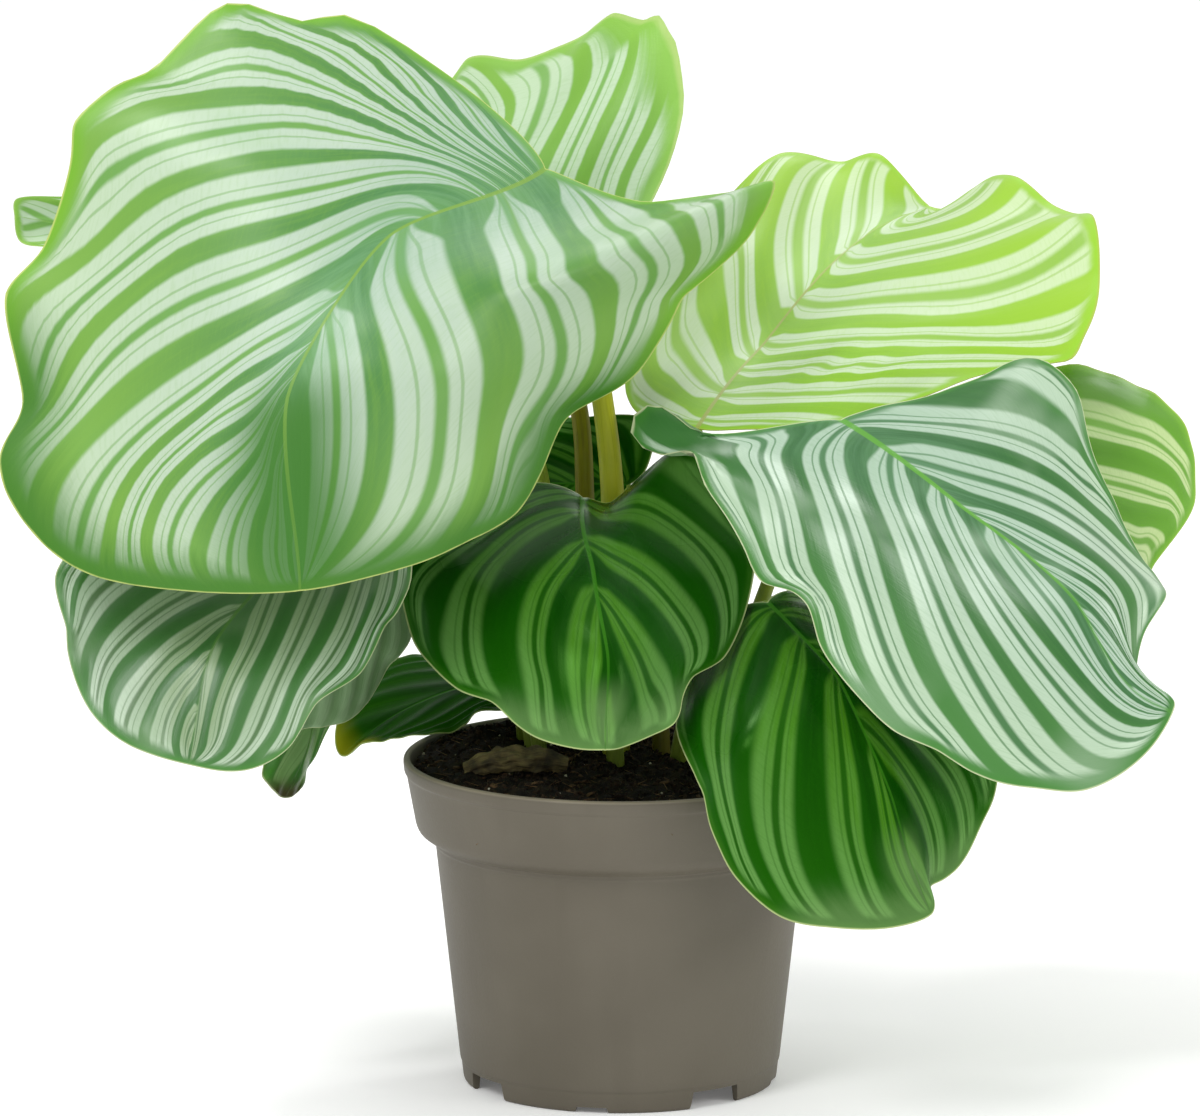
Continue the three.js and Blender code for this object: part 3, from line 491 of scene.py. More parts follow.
def bladeFaces(rows, half):  # one layer's faces, the rim between two layers, and which are on the left
    across = 2 * half + 1
    count = rows * across + 1
    faces = []
    for i in range(rows):
        for a in range(i * across, i * across + across - 1):
            last = i + 1 == rows
            faces.append((a, a + 1, count - 1) if last else (a, a + 1, a + 1 + across, a + across))
    border = list(range(across)) + [i * across + across - 1 for i in range(1, rows)] + [count - 1]
    border += [i * across for i in range(rows - 1, 0, -1)]
    pairs = list(zip(border, border[1:] + border[:1]))
    rim = [(here, count + here, count + after, after) for here, after in pairs]
    left = [face[0] % across < half for face in faces]
    rimLeft = [min(pair) % across < half for pair in pairs]
    return faces, rim, left, rimLeft


def leafPiece(place, leaf, finishes):
    surface = leafSurface(leaf)
    rows, half = blade["rows"], blade["columns"]
    across = 2 * half + 1
    count = rows * across + 1
    grid = bladeGrid(leaf, surface)
    faces, rim, left, rimLeft = bladeFaces(rows, half)
    underFaces = [tuple(count + corner for corner in reversed(face)) for face in faces]
    allFaces = faces + underFaces + rim
    faceMaterials = [0] * len(faces) + [1] * len(underFaces) + [0] * len(rim)
    points = np.vstack(bladeLayers(leaf, surface, grid))
    piece = meshPiece(f"leaf_{place}", points, allFaces, finishes, faceMaterials)
    for name, key in (("edgeDistance", "edge"), ("ribWidths", "rib")):
        pointValues(piece, name, np.tile(np.append(grid[key].ravel(), 0), 2))

    phases, along = grid["phase"].ravel(), np.append(grid["t"].ravel(), 1.0)
    flats = np.vstack([grid["flat"].reshape(-1, 2), (0.0, 1.0)])
    stripes, flatMap = [], []
    for face, onLeft in zip(allFaces, left + left + rimLeft):
        corners = [corner % count for corner in face]
        for corner in corners:
            if corner == count - 1:  # the tip takes its neighbour's count
                value = phases[next(c for c in corners if c != corner)]
            elif onLeft and corner % across == half:
                value = grid["ribPhase"][corner // across]
            else:
                value = phases[corner]
            stripes.extend((value + (blade["farSide"] if onLeft else 0), along[corner]))
            flatMap.extend(flats[corner])
    for name, values in (("stripes", stripes), ("flat", flatMap)):
        layer = piece.data.uv_layers.new(name=name)
        layer.data.foreach_set("uv", np.array(values, dtype=np.float32))
    sharpFrom(piece, 60)
    return piece, surface


leafPaint = {
    "streaks": (11, 5),  # how fine across the bands, and along a vein
    "ladder": (5, 140),  # the cross veins
    "broad": 3.0,  # scales of the noise over the whole leaf
    "patches": 6.0,
    "tipSoft": 0.14,  # of the leaf's length, over which the tip zone's colour fades in
    "bump": (0.0002, 0.35),  # metres, and its strength
    "underBump": (0.0003, 0.7),
}


def bandStreaks(tree, stripes):
    return grain(tree, scaled(tree, stripes, *leafPaint["streaks"]), 1.0, 3, 0.6)


# Where in its band each place lies, and how pale, how striped and how haired it is.
def bandMasks(tree, look, stripes, flat, streaks, edge):
    phase, along, _ = parts(tree, stripes)
    swing = calc(tree, "SUBTRACT", grain(tree, flat, leafPaint["broad"], 0), 0.5)
    swayed = calc(tree, "ADD", phase, calc(tree, "MULTIPLY", swing, look["sway"]))
    band = calc(tree, "FLOOR", calc(tree, "ADD", swayed, 0.5))
    off = calc(tree, "MULTIPLY", calc(tree, "ABSOLUTE", calc(tree, "SUBTRACT", swayed, band)), 2.0)
    oneBand = tree.nodes.new("ShaderNodeTexWhiteNoise")
    oneBand.noise_dimensions = "1D"
    plug(tree, oneBand.inputs["W"], band)
    uneven = calc(tree, "MULTIPLY", calc(tree, "SUBTRACT", oneBand.outputs["Value"], 0.5), look["uneven"])
    nearRib = fade(tree, along, 0.0, look["ribReach"], look["ribShare"], 0.0)
    share = calc(tree, "ADD", calc(tree, "ADD", uneven, look["share"]), nearRib)
    low, high = calc(tree, "SUBTRACT", share, look["soft"]), calc(tree, "ADD", share, look["soft"])
    pale = fade(tree, off, low, high)

    border = look["border"]
    roughEdge = calc(tree, "MULTIPLY_ADD", streaks, -border * 0.8, edge)
    patches = fade(tree, grain(tree, flat, leafPaint["patches"], 1), 0.35, 0.65)
    patchy = calc(tree, "MULTIPLY", patches, border * 0.8)
    inner = fade(tree, calc(tree, "SUBTRACT", roughEdge, patchy), border * -0.2, border * 1.1)
    pale = calc(tree, "MULTIPLY", pale, inner)

    stripe = fade(tree, off, 1 - look["stripe"] * 1.5, 1 - look["stripe"] * 0.5, 0.0, look["stripeDepth"])
    halfway = calc(tree, "MULTIPLY_ADD", share, 0.5, 0.5)
    besideHair = calc(tree, "ABSOLUTE", calc(tree, "SUBTRACT", off, halfway))
    hair = calc(tree, "MULTIPLY", fade(tree, besideHair, 0.012, 0.045, look["hair"], 0.0), pale)
    return off, pale, calc(tree, "MULTIPLY", stripe, pale), hair


# The tip zone: the tip's own withering on some looks, painted shade on the fresh look and a painted
# highlight on the dark look.
def tipWitherShadeSheenMask(tree, look, flat, streaks, edge):
    flatX, flatY, _ = parts(tree, flat)
    frayed = calc(tree, "ADD", edge, calc(tree, "MULTIPLY", streaks, 8))
    nearEdge = fade(tree, frayed, look["tipReach"], 5.0)
    nearRib = fade(tree, calc(tree, "ABSOLUTE", flatX), 0.14, 0.02)
    start = look["tipStart"]
    nearTip = fade(tree, flatY, start, start + leafPaint["tipSoft"], 0.0, look["tipWitherShadeSheenShare"])
    return calc(tree, "MULTIPLY", calc(tree, "MAXIMUM", nearEdge, nearRib), nearTip)


def leafFinish(name, look):
    material, tree, shader = newFinish(name)
    stripes, flat = ownMap(tree, "stripes"), ownMap(tree, "flat")
    edge, rib = ownValue(tree, "edgeDistance"), ownValue(tree, "ribWidths")
    broad = grain(tree, flat, leafPaint["broad"])
    streaks = bandStreaks(tree, stripes)
    ladder = grain(tree, scaled(tree, stripes, *leafPaint["ladder"]), 1.0, 2)
    off, pale, stripe, hair = bandMasks(tree, look, stripes, flat, streaks, edge)
    _, along, _ = parts(tree, stripes)
    _, flatY, _ = parts(tree, flat)
    outward = fade(tree, along, 0.15, 0.95)
    green = mixed(tree, outward, look["green"], look["greenOut"])
    green = mixed(tree, fade(tree, off, 0.0, 0.6, 0.0, 0.45), green, look["greenSide"])
    green = mixed(tree, fade(tree, streaks, 0.4, 0.75, 0.0, 0.35), green, look["greenOut"])
    light = mixed(tree, outward, look["pale"], look["paleOut"])
    light = mixed(tree, fade(tree, streaks, 0.35, 0.7, 0.0, 0.3), light, look["paleOut"])
    border = look["border"]
    beside = calc(tree, "MULTIPLY", fade(tree, along, 0.3, 0.06), fade(tree, streaks, 0.3, 0.7, 0.3, 1.0))
    ribShown = calc(tree, "MULTIPLY", fade(tree, rib, 1.0, 0.6), fade(tree, flatY, 0.5, 0.9, 0.9, 0.3))
    coats = [  # one over the other
        (pale, light),
        (stripe, look["stripeColour"]),
        (hair, look["stripeColour"]),
        (fade(tree, edge, border * 1.3, border * 0.2, 0.0, 0.8), look["margin"]),
        # broad clouds of a paler colour: a random mottle on most looks, a painted sheen on the silver look
        (fade(tree, broad, 0.5, 0.7, 0.0, look["cloudAndSheen"]), look["cloudAndSheenColour"]),
        (fade(tree, ladder, 0.45, 0.7, 0.0, 0.12), look["greenOut"]),
        # painted sheen beside the midrib
        (calc(tree, "MULTIPLY", beside, look["ribSheen"]), look["ribSheenColour"]),
        # the tip zone: the tip's own withering, painted shade or a painted highlight, as each look sets it
        (tipWitherShadeSheenMask(tree, look, flat, streaks, edge), look["tipWitherShadeSheenColour"]),
        (ribShown, look["ribColour"]),
        (fade(tree, edge, 0.65, 0.2, 0.0, 0.8), look["rim"]),
    ]
    gloss = calc(tree, "MULTIPLY_ADD", broad, look["roughSpread"], look["rough"])
    relief = calc(tree, "MULTIPLY_ADD", ladder, 0.35, streaks)
    relief = calc(tree, "ADD", relief, calc(tree, "MULTIPLY", hair, -0.8))
    paint(tree, shader, coated(tree, green, coats), gloss, relief, *leafPaint["bump"])
    setShine(shader, look["specular"], look["glint"])
    return material


def undersideFinish(name, look):
    material, tree, shader = newFinish(name)
    stripes, flat = ownMap(tree, "stripes"), ownMap(tree, "flat")
    phase, _, _ = parts(tree, stripes)
    edge, rib = ownValue(tree, "edgeDistance"), ownValue(tree, "ribWidths")
    streaks = bandStreaks(tree, stripes)
    part = calc(tree, "FRACT", calc(tree, "ADD", phase, 0.5))
    off = calc(tree, "ABSOLUTE", calc(tree, "SUBTRACT", part, 0.5))
    colour = coated(tree, look["under"], [
        (fade(tree, grain(tree, flat, 4.0), 0.3, 0.7), look["underOut"]),
        (fade(tree, off, 0.16, 0.3, 0.0, 0.5), look["underPale"]),
        (fade(tree, streaks, 0.4, 0.7, 0.0, 0.3), look["underOut"]),
        (fade(tree, rib, 1.6, 1.0), look["ribColour"]),
        (fade(tree, edge, 0.5, 0.15, 0.0, 0.7), look["rim"]),
    ])
    paint(tree, shader, colour, 0.55, streaks, *leafPaint["underBump"])
    setShine(shader, 0.35)
    return material


stalks = {
    "sides": 20,
    "steps": 64,
    "size": (3.2, 2.0),  # mm, at the foot and above the sheath
    "swelling": (0.35, 0.07),  # under the blade: mm, and over what part of the stalk
    "sheath": 0.75,  # of the stalk's length
    "lap": 0.35,  # mm, where the sheath's edges overlap
    "seam": (0.35, 0.1),  # where the lap starts, and how far it winds, in turns
    "gap": 0.3,  # mm, to the blade
    "rough": 0.42,
    "shine": 0.2,
}


def smoothRoute(points, count):  # a centripetal spline through the points, evenly spaced
    points = np.array(points, float)
    held = np.vstack([2 * points[0] - points[1], points, 2 * points[-1] - points[-2]])
    route = []
    for i in range(1, len(held) - 2):
        p0, p1, p2, p3 = held[i - 1:i + 3]
        steps = [np.linalg.norm(b - a) ** 0.5 for a, b in ((p0, p1), (p1, p2), (p2, p3))]
        k0, k1, k2, k3 = np.cumsum([0] + steps)
        for k in np.linspace(k1, k2, 60, endpoint=False):
            a1 = (k1 - k) / (k1 - k0) * p0 + (k - k0) / (k1 - k0) * p1
            a2 = (k2 - k) / (k2 - k1) * p1 + (k - k1) / (k2 - k1) * p2
            a3 = (k3 - k) / (k3 - k2) * p2 + (k - k2) / (k3 - k2) * p3
            b1 = (k2 - k) / (k2 - k0) * a1 + (k - k0) / (k2 - k0) * a2
            b2 = (k3 - k) / (k3 - k1) * a2 + (k - k1) / (k3 - k1) * a3
            route.append((k2 - k) / (k2 - k1) * b1 + (k - k1) / (k2 - k1) * b2)
    route = np.array(route + [held[-2]])
    run = np.append(0, np.cumsum(np.linalg.norm(np.diff(route, axis=0), axis=1)))
    even = np.linspace(0, run[-1], count)
    return np.stack([np.interp(even, run, route[:, k]) for k in range(3)], -1)


def barPiece(name, route, radiusAt, sides, finish):  # a round bar along a route, closed at both ends
    count = len(route)
    ahead = np.gradient(route, axis=0)
    ahead /= np.linalg.norm(ahead, axis=1, keepdims=True)
    first = np.cross(ahead[0], (0.0, 1.0, 0.0))
    normals = [first / np.linalg.norm(first)]
    for direction in ahead[1:]:
        turned = normals[-1] - direction * (normals[-1] @ direction)
        normals.append(turned / np.linalg.norm(turned))
    others = np.cross(ahead, normals)
    angles = fullTurn * np.arange(sides) / sides
    points, along = [], []
    for i in range(count):
        part = i / (count - 1)
        radii = radiusAt(part, angles)[:, None]
        ring = np.cos(angles)[:, None] * normals[i] + np.sin(angles)[:, None] * others[i]
        points.extend(route[i] + radii * ring)
        along.extend([part] * sides)
    faces = []
    for i in range(count - 1):
        for j in range(sides):
            a, b = i * sides + j, i * sides + (j + 1) % sides
            faces.append((a, b, b + sides, a + sides))
    last = (count - 1) * sides
    faces += [tuple(reversed(range(sides))), tuple(range(last, last + sides))]
    piece = meshPiece(name, points, faces, [finish])
    pointValues(piece, "along", along)
    pointValues(piece, "around", np.tile(angles / fullTurn, count))
    sharpFrom(piece, 50)
    return piece


def bladeFoot(leaf, surface):  # where the stalk meets the keel
    base = surface(np.array((0.0, 0.0)))
    ahead = surface(np.array((0.0, 0.03))) - base
    across = surface(np.array((0.03, 0.0))) - surface(np.array((-0.03, 0.0)))
    normal = np.cross(across, ahead)
    return base - 0.6 * keelDepth(leaf) * normal / np.linalg.norm(normal)


def stalkPiece(place, leaf, surface, finish):
    end, last = bladeFoot(leaf, surface), np.array(leaf["stalk"][-1])
    toBlade = (end - last) / np.linalg.norm(end - last)
    route = smoothRoute([*leaf["stalk"], end - stalks["gap"] * toBlade], stalks["steps"])
    foot, top = leaf.get("stalkSize", stalks["size"])
    swelling, over = stalks["swelling"]
    seamStart, winding = stalks["seam"]

    def radiusAt(part, angles):
        sheath = max(0, 1 - part / stalks["sheath"]) ** 1.3
        radius = top + (foot - top) * sheath + swelling * math.exp(-((part - 1) / over) ** 2)
        seam = (angles / fullTurn + seamStart + winding * part) % 1.0
        fromSeam = np.minimum(seam, 1 - seam) / 0.2
        lap = stalks["lap"] * min(1, sheath * 3) * (seam - 0.5) * np.exp(-fromSeam ** 2) * 2
        ribs = 0.03 * radius * np.cos(9 * angles) + 0.05 * radius * np.cos(2 * angles + 1)
        closing = min(1.0, (1 - part) * 60 + 0.82)
        return (radius + lap + ribs) * closing
    return barPiece(f"stalk_{place}", route, radiusAt, stalks["sides"], finish)


def stalkFinish(name, look):
    material, tree, shader = newFinish(name)
    along, around = ownValue(tree, "along"), ownValue(tree, "around")
    wrapped = calc(tree, "SINE", calc(tree, "MULTIPLY", around, fullTurn))  # no seam in the lines
    lines = joined(tree, calc(tree, "MULTIPLY", along, 3.0), calc(tree, "MULTIPLY", wrapped, 4.0))
    lines = grain(tree, lines, 3.0, 3)
    blotches = grain(tree, objectPlace(tree), 90.0, 3)
    # the foot colour: the stalk's own darker base, deepened with painted shade on the green stalks
    colour = coated(tree, look["foot"], [
        (fade(tree, along, 0.05, 0.75), look["body"]),
        (fade(tree, along, 0.86, 0.97), look["top"]),
        (fade(tree, blotches, 0.45, 0.7, 0.0, 0.55), look["blotch"]),
        (fade(tree, lines, 0.45, 0.65, 0.0, 0.45), look["line"]),
    ])
    paint(tree, shader, colour, stalks["rough"], lines, 0.0003, 0.5)
    setShine(shader, stalks["shine"])
    return material


pot = {
    "height": 107.0,  # mm
    "rimRadius": 70.3,
    "baseRadius": 51.0,
    "wall": 1.8,
    "band": 19.0,  # high
    "foot": 7.0,  # high
    "bodyTop": 60.4,  # radius under the band
    "bandRadius": 66.6,
    "rounding": 0.9,  # of its edges
    "deepNotches": (-58.3, 37.3, 121.7, 217.3),  # degrees from the front
    "deepNotch": (8.9, 5.9, 1),  # half its width, its height and its slant
    "shallowNotches": (-10.5, 79.5, 169.5, 259.5),
    "shallowNotch": (4.9, 1.9, 1.3),
    "holes": (34, 124, 214, 304),
    "holeRadius": 5.0,
    "holeFromAxis": 34,
    "segments": 192,
    "plastic": shade(89, 83, 70),
    "plasticLight": shade(98, 92, 79),
    "plasticDark": shade(75, 69, 57),
    "plasticEdge": shade(140, 131, 112),  # lighter, in patches, along the rim's top edge
}


def rounded(profile, reach, steps=4):  # the profile with its corners rounded, reach mm from each
    corners = [np.array(point, float) for point in profile]
    smooth = [corners[0]]
    for before, corner, after in zip(corners, corners[1:], corners[2:]):
        toBefore, toAfter = before - corner, after - corner
        back, on = np.linalg.norm(toBefore), np.linalg.norm(toAfter)
        start = corner + toBefore / back * min(reach, 0.45 * back)
        stop = corner + toAfter / on * min(reach, 0.45 * on)
        for part in np.linspace(0, 1, steps):
            smooth.append((1 - part) ** 2 * start + 2 * part * (1 - part) * corner + part ** 2 * stop)
    return smooth + [corners[-1]]


def lathed(name, profile, segments, finish):  # the profile starts and ends on the axis
    angles = fullTurn * np.arange(segments) / segments
    points = [(0, 0, profile[0][1])]
    for r, z in profile[1:-1]:
        points.extend(zip(r * np.cos(angles), r * np.sin(angles), [z] * segments))
    points.append((0, 0, profile[-1][1]))
    rings, last = len(profile) - 2, len(points) - 1
    top = 1 + (rings - 1) * segments
    faces = []
    for j in range(segments):
        after = (j + 1) % segments
        faces.append((0, 1 + after, 1 + j))
        for i in range(rings - 1):
            a, b = 1 + i * segments + j, 1 + i * segments + after
            faces.append((a, b, b + segments, a + segments))
        faces.append((last, top + j, top + after))
    return meshPiece(name, points, faces, [finish])


def wedge(angle, halfWidth, height, slant):  # a notch's cutter, which spans the foot's wall
    outline = [(-halfWidth - slant, -2), (halfWidth + slant, -2), (halfWidth, height), (-halfWidth, height)]
    turn = math.radians(angle)
    across, out = (math.cos(turn), math.sin(turn)), (math.sin(turn), -math.cos(turn))
    points = []
    for reach in (pot["baseRadius"] - 8, pot["baseRadius"] + 6):
        points += [(x * across[0] + reach * out[0], x * across[1] + reach * out[1], z) for x, z in outline]
    faces = [(3, 2, 1, 0), (4, 5, 6, 7), (1, 5, 4, 0), (2, 6, 5, 1), (3, 7, 6, 2), (0, 4, 7, 3)]
    return points, faces


def drainHole(angle, sides=32):  # a hole's cutter, through the floor
    turn = math.radians(angle)
    x, y = pot["holeFromAxis"] * math.sin(turn), -pot["holeFromAxis"] * math.cos(turn)
    corners = fullTurn * np.arange(sides) / sides
    ring = [(pot["holeRadius"] * math.cos(c), pot["holeRadius"] * math.sin(c)) for c in corners]
    points = [(x + dx, y + dy, z) for z in (pot["foot"] - 3, pot["foot"] + 5) for dx, dy in ring]
    faces = [(j, (j + 1) % sides, sides + (j + 1) % sides, sides + j) for j in range(sides)]
    faces += [tuple(reversed(range(sides))), tuple(range(sides, 2 * sides))]
    return points, faces


def potProfile():  # up the outside, over the rim and down the inside
    base, rim, body, band = pot["baseRadius"], pot["rimRadius"], pot["bodyTop"], pot["bandRadius"]
    height, foot, wall = pot["height"], pot["foot"], pot["wall"]
    bandFoot = height - pot["band"]
    slope = (body - 0.3 - base + 0.1) / (bandFoot - 8.8)
    footRing = [
        (0, foot), (base - 2.6, foot), (base - 2.4, 0), (base - 0.9, 0), (base - 0.1, 0.8),
        (base - 0.1 + slope * 6.0, 6.8), (base + 0.25 + slope * 6.0, 7.2),
    ]
    underBand = [
        (body - 0.55, bandFoot - 9.6), (body - 0.1, bandFoot - 9.0), (body - 0.1, bandFoot - 8.2),
        (body + 0.2, bandFoot - 7.6), (62.9, bandFoot - 6.5), (65.3, bandFoot - 4.8),
        (band - 0.4, bandFoot - 2.8),
    ]
    rimTop = [
        (rim - 1.0, height - 5), (rim - 0.3, height - 4.4), (rim, height - 0.9), (rim - 0.7, height),
        (rim - 2, height), (rim - 2.5, height - 1.5),
    ]
    inside = [
        (band - wall, bandFoot + 1), (body - wall + 0.4, bandFoot - 4), (body - wall, bandFoot - 8),
        (base - wall - 0.2, foot + 1.8), (0, foot + 1.8),
    ]
    return footRing + underBand + rimTop + inside


def makePot():
    piece = lathed("pot_shell", rounded(potProfile(), pot["rounding"]), pot["segments"], potFinish())
    cuts = [wedge(angle, *pot["deepNotch"]) for angle in pot["deepNotches"]]
    cuts += [wedge(angle, *pot["shallowNotch"]) for angle in pot["shallowNotches"]]
    cuts += [drainHole(angle) for angle in pot["holes"]]
    cutters = bpy.data.collections.new("cutters")
    for points, faces in cuts:
        cutter = meshPiece("cutter", points, faces, [])
        bpy.context.collection.objects.unlink(cutter)
        cutters.objects.link(cutter)
    bpy.context.scene.collection.children.link(cutters)
    cut = piece.modifiers.new("cuts", "BOOLEAN")
    cut.operand_type = "COLLECTION"
    cut.collection = cutters
    cut.solver = "EXACT"
    applied(piece)
    for cutter in list(cutters.objects):
        bpy.data.objects.remove(cutter)
    bpy.data.collections.remove(cutters)
    shadeFaces(piece.data, True)
    sharpFrom(piece, 32)
    return dressed(piece, "pot")


def potFinish():
    material, tree, shader = newFinish("pot plastic")
    place = objectPlace(tree)
    cloudy = grain(tree, place, 14.0, 3)
    fine = grain(tree, place, 900.0, 2)
    streaky = grain(tree, scaled(tree, place, 60, 60, 6), 1.0, 3)
    _, _, height = parts(tree, place)
    top = pot["height"] * mm
    nearTop, edgePatches = fade(tree, height, top - 0.0011, top - 0.0004), fade(tree, cloudy, 0.3, 0.6, 0.3, 0.9)
    colour = coated(tree, pot["plastic"], [
        (fade(tree, cloudy, 0.35, 0.65), pot["plasticLight"]),
        (fade(tree, streaky, 0.5, 0.75, 0.0, 0.2), pot["plasticDark"]),
        (fade(tree, fine, 0.55, 0.75, 0.0, 0.12), pot["plasticLight"]),
        (fade(tree, height, 0.012, 0.0, 0.0, 0.25), pot["plasticDark"]),  # darker towards the ground
        (calc(tree, "MULTIPLY", nearTop, edgePatches), pot["plasticEdge"]),
    ])
    paint(tree, shader, colour, calc(tree, "MULTIPLY_ADD", fine, 0.12, 0.5), fine, 0.00012, 0.5)
    setShine(shader, 0.4)
    return material


soil = {
    "height": 104.5,  # mm
    "inside": 66.0,  # radius that the peat fills at its top
    "around": 150,
    "rings": 56,
    "heap": (4.6, -40, 34, 34),  # at the back left: mm high, where it is, and its reach
    "middleHeap": 2.0,
    "lump": 1.3,  # mm
    "fineLump": 0.45,
    "dark": shade(14, 12, 7),
    "brown": shade(42, 33, 19),
}

strewnKinds = {  # what lies on the soil
    "peat_crumbs": dict(
        count=1900, stretch=(1, 0.85, 0.7), jag=0.9, size=(0.9, 2.6), tilt=3.1,
        dark=shade(26, 20, 14), light=shade(66, 52, 36),
    ),
    "bark_chips": dict(
        count=220, stretch=(2.2, 1.1, 0.45), jag=0.6, size=(1.0, 2.4), tilt=0.5,
        dark=shade(48, 35, 22), light=shade(104, 80, 54),
    ),
    "root_fibres": dict(
        count=260, stretch=(7, 0.22, 0.22), jag=0.3, size=(0.5, 1.6), tilt=0.45,
        dark=shade(88, 68, 44), light=shade(146, 120, 84),
    ),
    "pale_specks": dict(
        count=26, stretch=(1, 0.9, 0.8), jag=0.5, size=(0.8, 1.6), tilt=3.1,
        dark=shade(190, 182, 165), light=shade(222, 216, 200),
    ),
}


def soilTop(x, y):  # mm, the same lumps as the frame's
    lumps = 0.9 * math.sin(x / 5.3 + 1) * math.cos(y / 6.1)
    lumps += 0.7 * math.sin(x / 2.9 - y / 3.7) + 0.5 * math.cos(x / 2.1 + y / 2.6 + 2)
    high, heapX, heapY, reach = soil["heap"]
    heap = high * math.exp(-((x - heapX) / reach) ** 2 - ((y - heapY) / reach) ** 2)
    middle = soil["middleHeap"] * math.exp(-(x / reach) ** 2 - (y / reach) ** 2)
    edge = float(smoothed(math.hypot(x, y), 50, soil["inside"]))
    return soil["height"] + heap * (1 - 0.2 * edge) + middle + lumps * (1 - 0.6 * edge) - 1.2 * edge


def crumbly(x, y):  # mm, the finer lumps
    coarse = noise.fractal(Vector((x / 4.5, y / 4.5, 3.1)), 1.0, 2.2, 3)
    return soil["lump"] * coarse + soil["fineLump"] * noise.noise(Vector((x / 1.3, y / 1.3, 9.0)))


def makeSoil(finish):
    bandFoot, floorTop = pot["height"] - pot["band"], pot["foot"] + 2.4
    around, rings = soil["around"], soil["rings"]
    angles = fullTurn * np.arange(around) / around
    points = [(0, 0, soilTop(0, 0) + crumbly(0, 0))]
    for i in range(1, rings + 1):
        radius = soil["inside"] * i / rings
        for angle in angles:
            x, y = radius * math.cos(angle), radius * math.sin(angle)
            points.append((x, y, soilTop(x, y) + crumbly(x, y)))
    walls = [(63.6, bandFoot + 1), (58.0, bandFoot - 8), (48.2, floorTop)]
    for radius, z in walls:
        points.extend((radius * math.cos(angle), radius * math.sin(angle), z) for angle in angles)
    loops, last = rings + len(walls), len(points)
    points.append((0, 0, floorTop))
    faces = []
    for j in range(around):
        after = (j + 1) % around
        faces.append((0, 1 + j, 1 + after))
        for i in range(loops - 1):
            a, b = 1 + i * around + j, 1 + i * around + after
            faces.append((a, a + around, b + around, b))
        low = 1 + (loops - 1) * around
        faces.append((last, low + after, low + j))
    return meshPiece("peat", points, faces, [finish])


def soilFinish(name, dark, light):
    material, tree, shader = newFinish(name)
    place = objectPlace(tree)
    patchy = grain(tree, place, 260.0, 4, 0.65)
    fine = grain(tree, place, 1400.0, 3)
    colour = coated(tree, dark, [
        (fade(tree, patchy, 0.4, 0.68), light),
        (fade(tree, fine, 0.55, 0.8, 0.0, 0.5), light),
    ])
    paint(tree, shader, colour, 0.92, calc(tree, "ADD", patchy, fine), 0.0012, 0.9)
    setShine(shader, 0.2)
    return material


def crumbShape(name, stretch, jag, seed, finish):  # a broken lump, 1 mm across before it is stretched
    mesh = bpy.data.meshes.new(name)
    body = bmesh.new()
    bmesh.ops.create_icosphere(body, subdivisions=1, radius=0.5)
    draw = np.random.default_rng(seed)
    for vertex in body.verts:
        vertex.co *= 1 + jag * (draw.random() - 0.5)
        vertex.co = vertex.co * Vector(stretch) * mm
    body.to_mesh(mesh)
    body.free()
    mesh.materials.append(finish)
    piece = bpy.data.objects.new(name, mesh)
    bpy.context.collection.objects.link(piece)
    return piece


def scatterTree(name, finish, seed):  # instances strewn over the faces that look up
    tree = bpy.data.node_groups.new(name, "GeometryNodeTree")
    face = tree.interface
    face.new_socket("Surface", in_out="INPUT", socket_type="NodeSocketGeometry")
    for key in ("Density", "Smallest", "Largest", "Tilt"):
        face.new_socket(key, in_out="INPUT", socket_type="NodeSocketFloat")
    face.new_socket("Shape", in_out="INPUT", socket_type="NodeSocketObject")
    face.new_socket("Strewn", in_out="OUTPUT", socket_type="NodeSocketGeometry")

    def add(kind, **settings):
        node = tree.nodes.new(kind)
        for key, value in settings.items():
            setattr(node, key, value)
        return node
    given, out = add("NodeGroupInput"), add("NodeGroupOutput")
    link = tree.links.new
    normal, split = add("GeometryNodeInputNormal"), add("ShaderNodeSeparateXYZ")
    upward = add("FunctionNodeCompare", data_type="FLOAT", operation="GREATER_THAN")
    upward.inputs[1].default_value = 0.4
    link(normal.outputs[0], split.inputs[0])
    link(split.outputs[2], upward.inputs[0])
    strew = add("GeometryNodeDistributePointsOnFaces")
    strew.inputs["Seed"].default_value = seed
    link(given.outputs["Surface"], strew.inputs["Mesh"])
    link(upward.outputs[0], strew.inputs["Selection"])
    link(given.outputs["Density"], strew.inputs["Density"])
    turn = add("FunctionNodeRandomValue", data_type="FLOAT_VECTOR")
    low, high = add("ShaderNodeCombineXYZ"), add("ShaderNodeCombineXYZ")
    opposite = add("ShaderNodeMath", operation="MULTIPLY")
    opposite.inputs[1].default_value = -1
    link(given.outputs["Tilt"], opposite.inputs[0])
    for k in (0, 1):
        link(opposite.outputs[0], low.inputs[k])
        link(given.outputs["Tilt"], high.inputs[k])
    high.inputs[2].default_value = fullTurn
    link(low.outputs[0], turn.inputs[0])
    link(high.outputs[0], turn.inputs[1])
    turn.inputs["Seed"].default_value = seed + 1
    size = add("FunctionNodeRandomValue", data_type="FLOAT")
    link(given.outputs["Smallest"], size.inputs[2])
    link(given.outputs["Largest"], size.inputs[3])
    size.inputs["Seed"].default_value = seed + 2
    thing = add("GeometryNodeObjectInfo")
    link(given.outputs["Shape"], thing.inputs[0])
    place = add("GeometryNodeInstanceOnPoints")
    link(strew.outputs["Points"], place.inputs["Points"])
    link(thing.outputs["Geometry"], place.inputs["Instance"])
    link(turn.outputs[0], place.inputs["Rotation"])
    link(size.outputs[1], place.inputs["Scale"])
    real, coat = add("GeometryNodeRealizeInstances"), add("GeometryNodeSetMaterial")
    coat.inputs["Material"].default_value = finish
    link(place.outputs[0], real.inputs[0])
    link(real.outputs[0], coat.inputs[0])
    link(coat.outputs[0], out.inputs[0])
    return tree


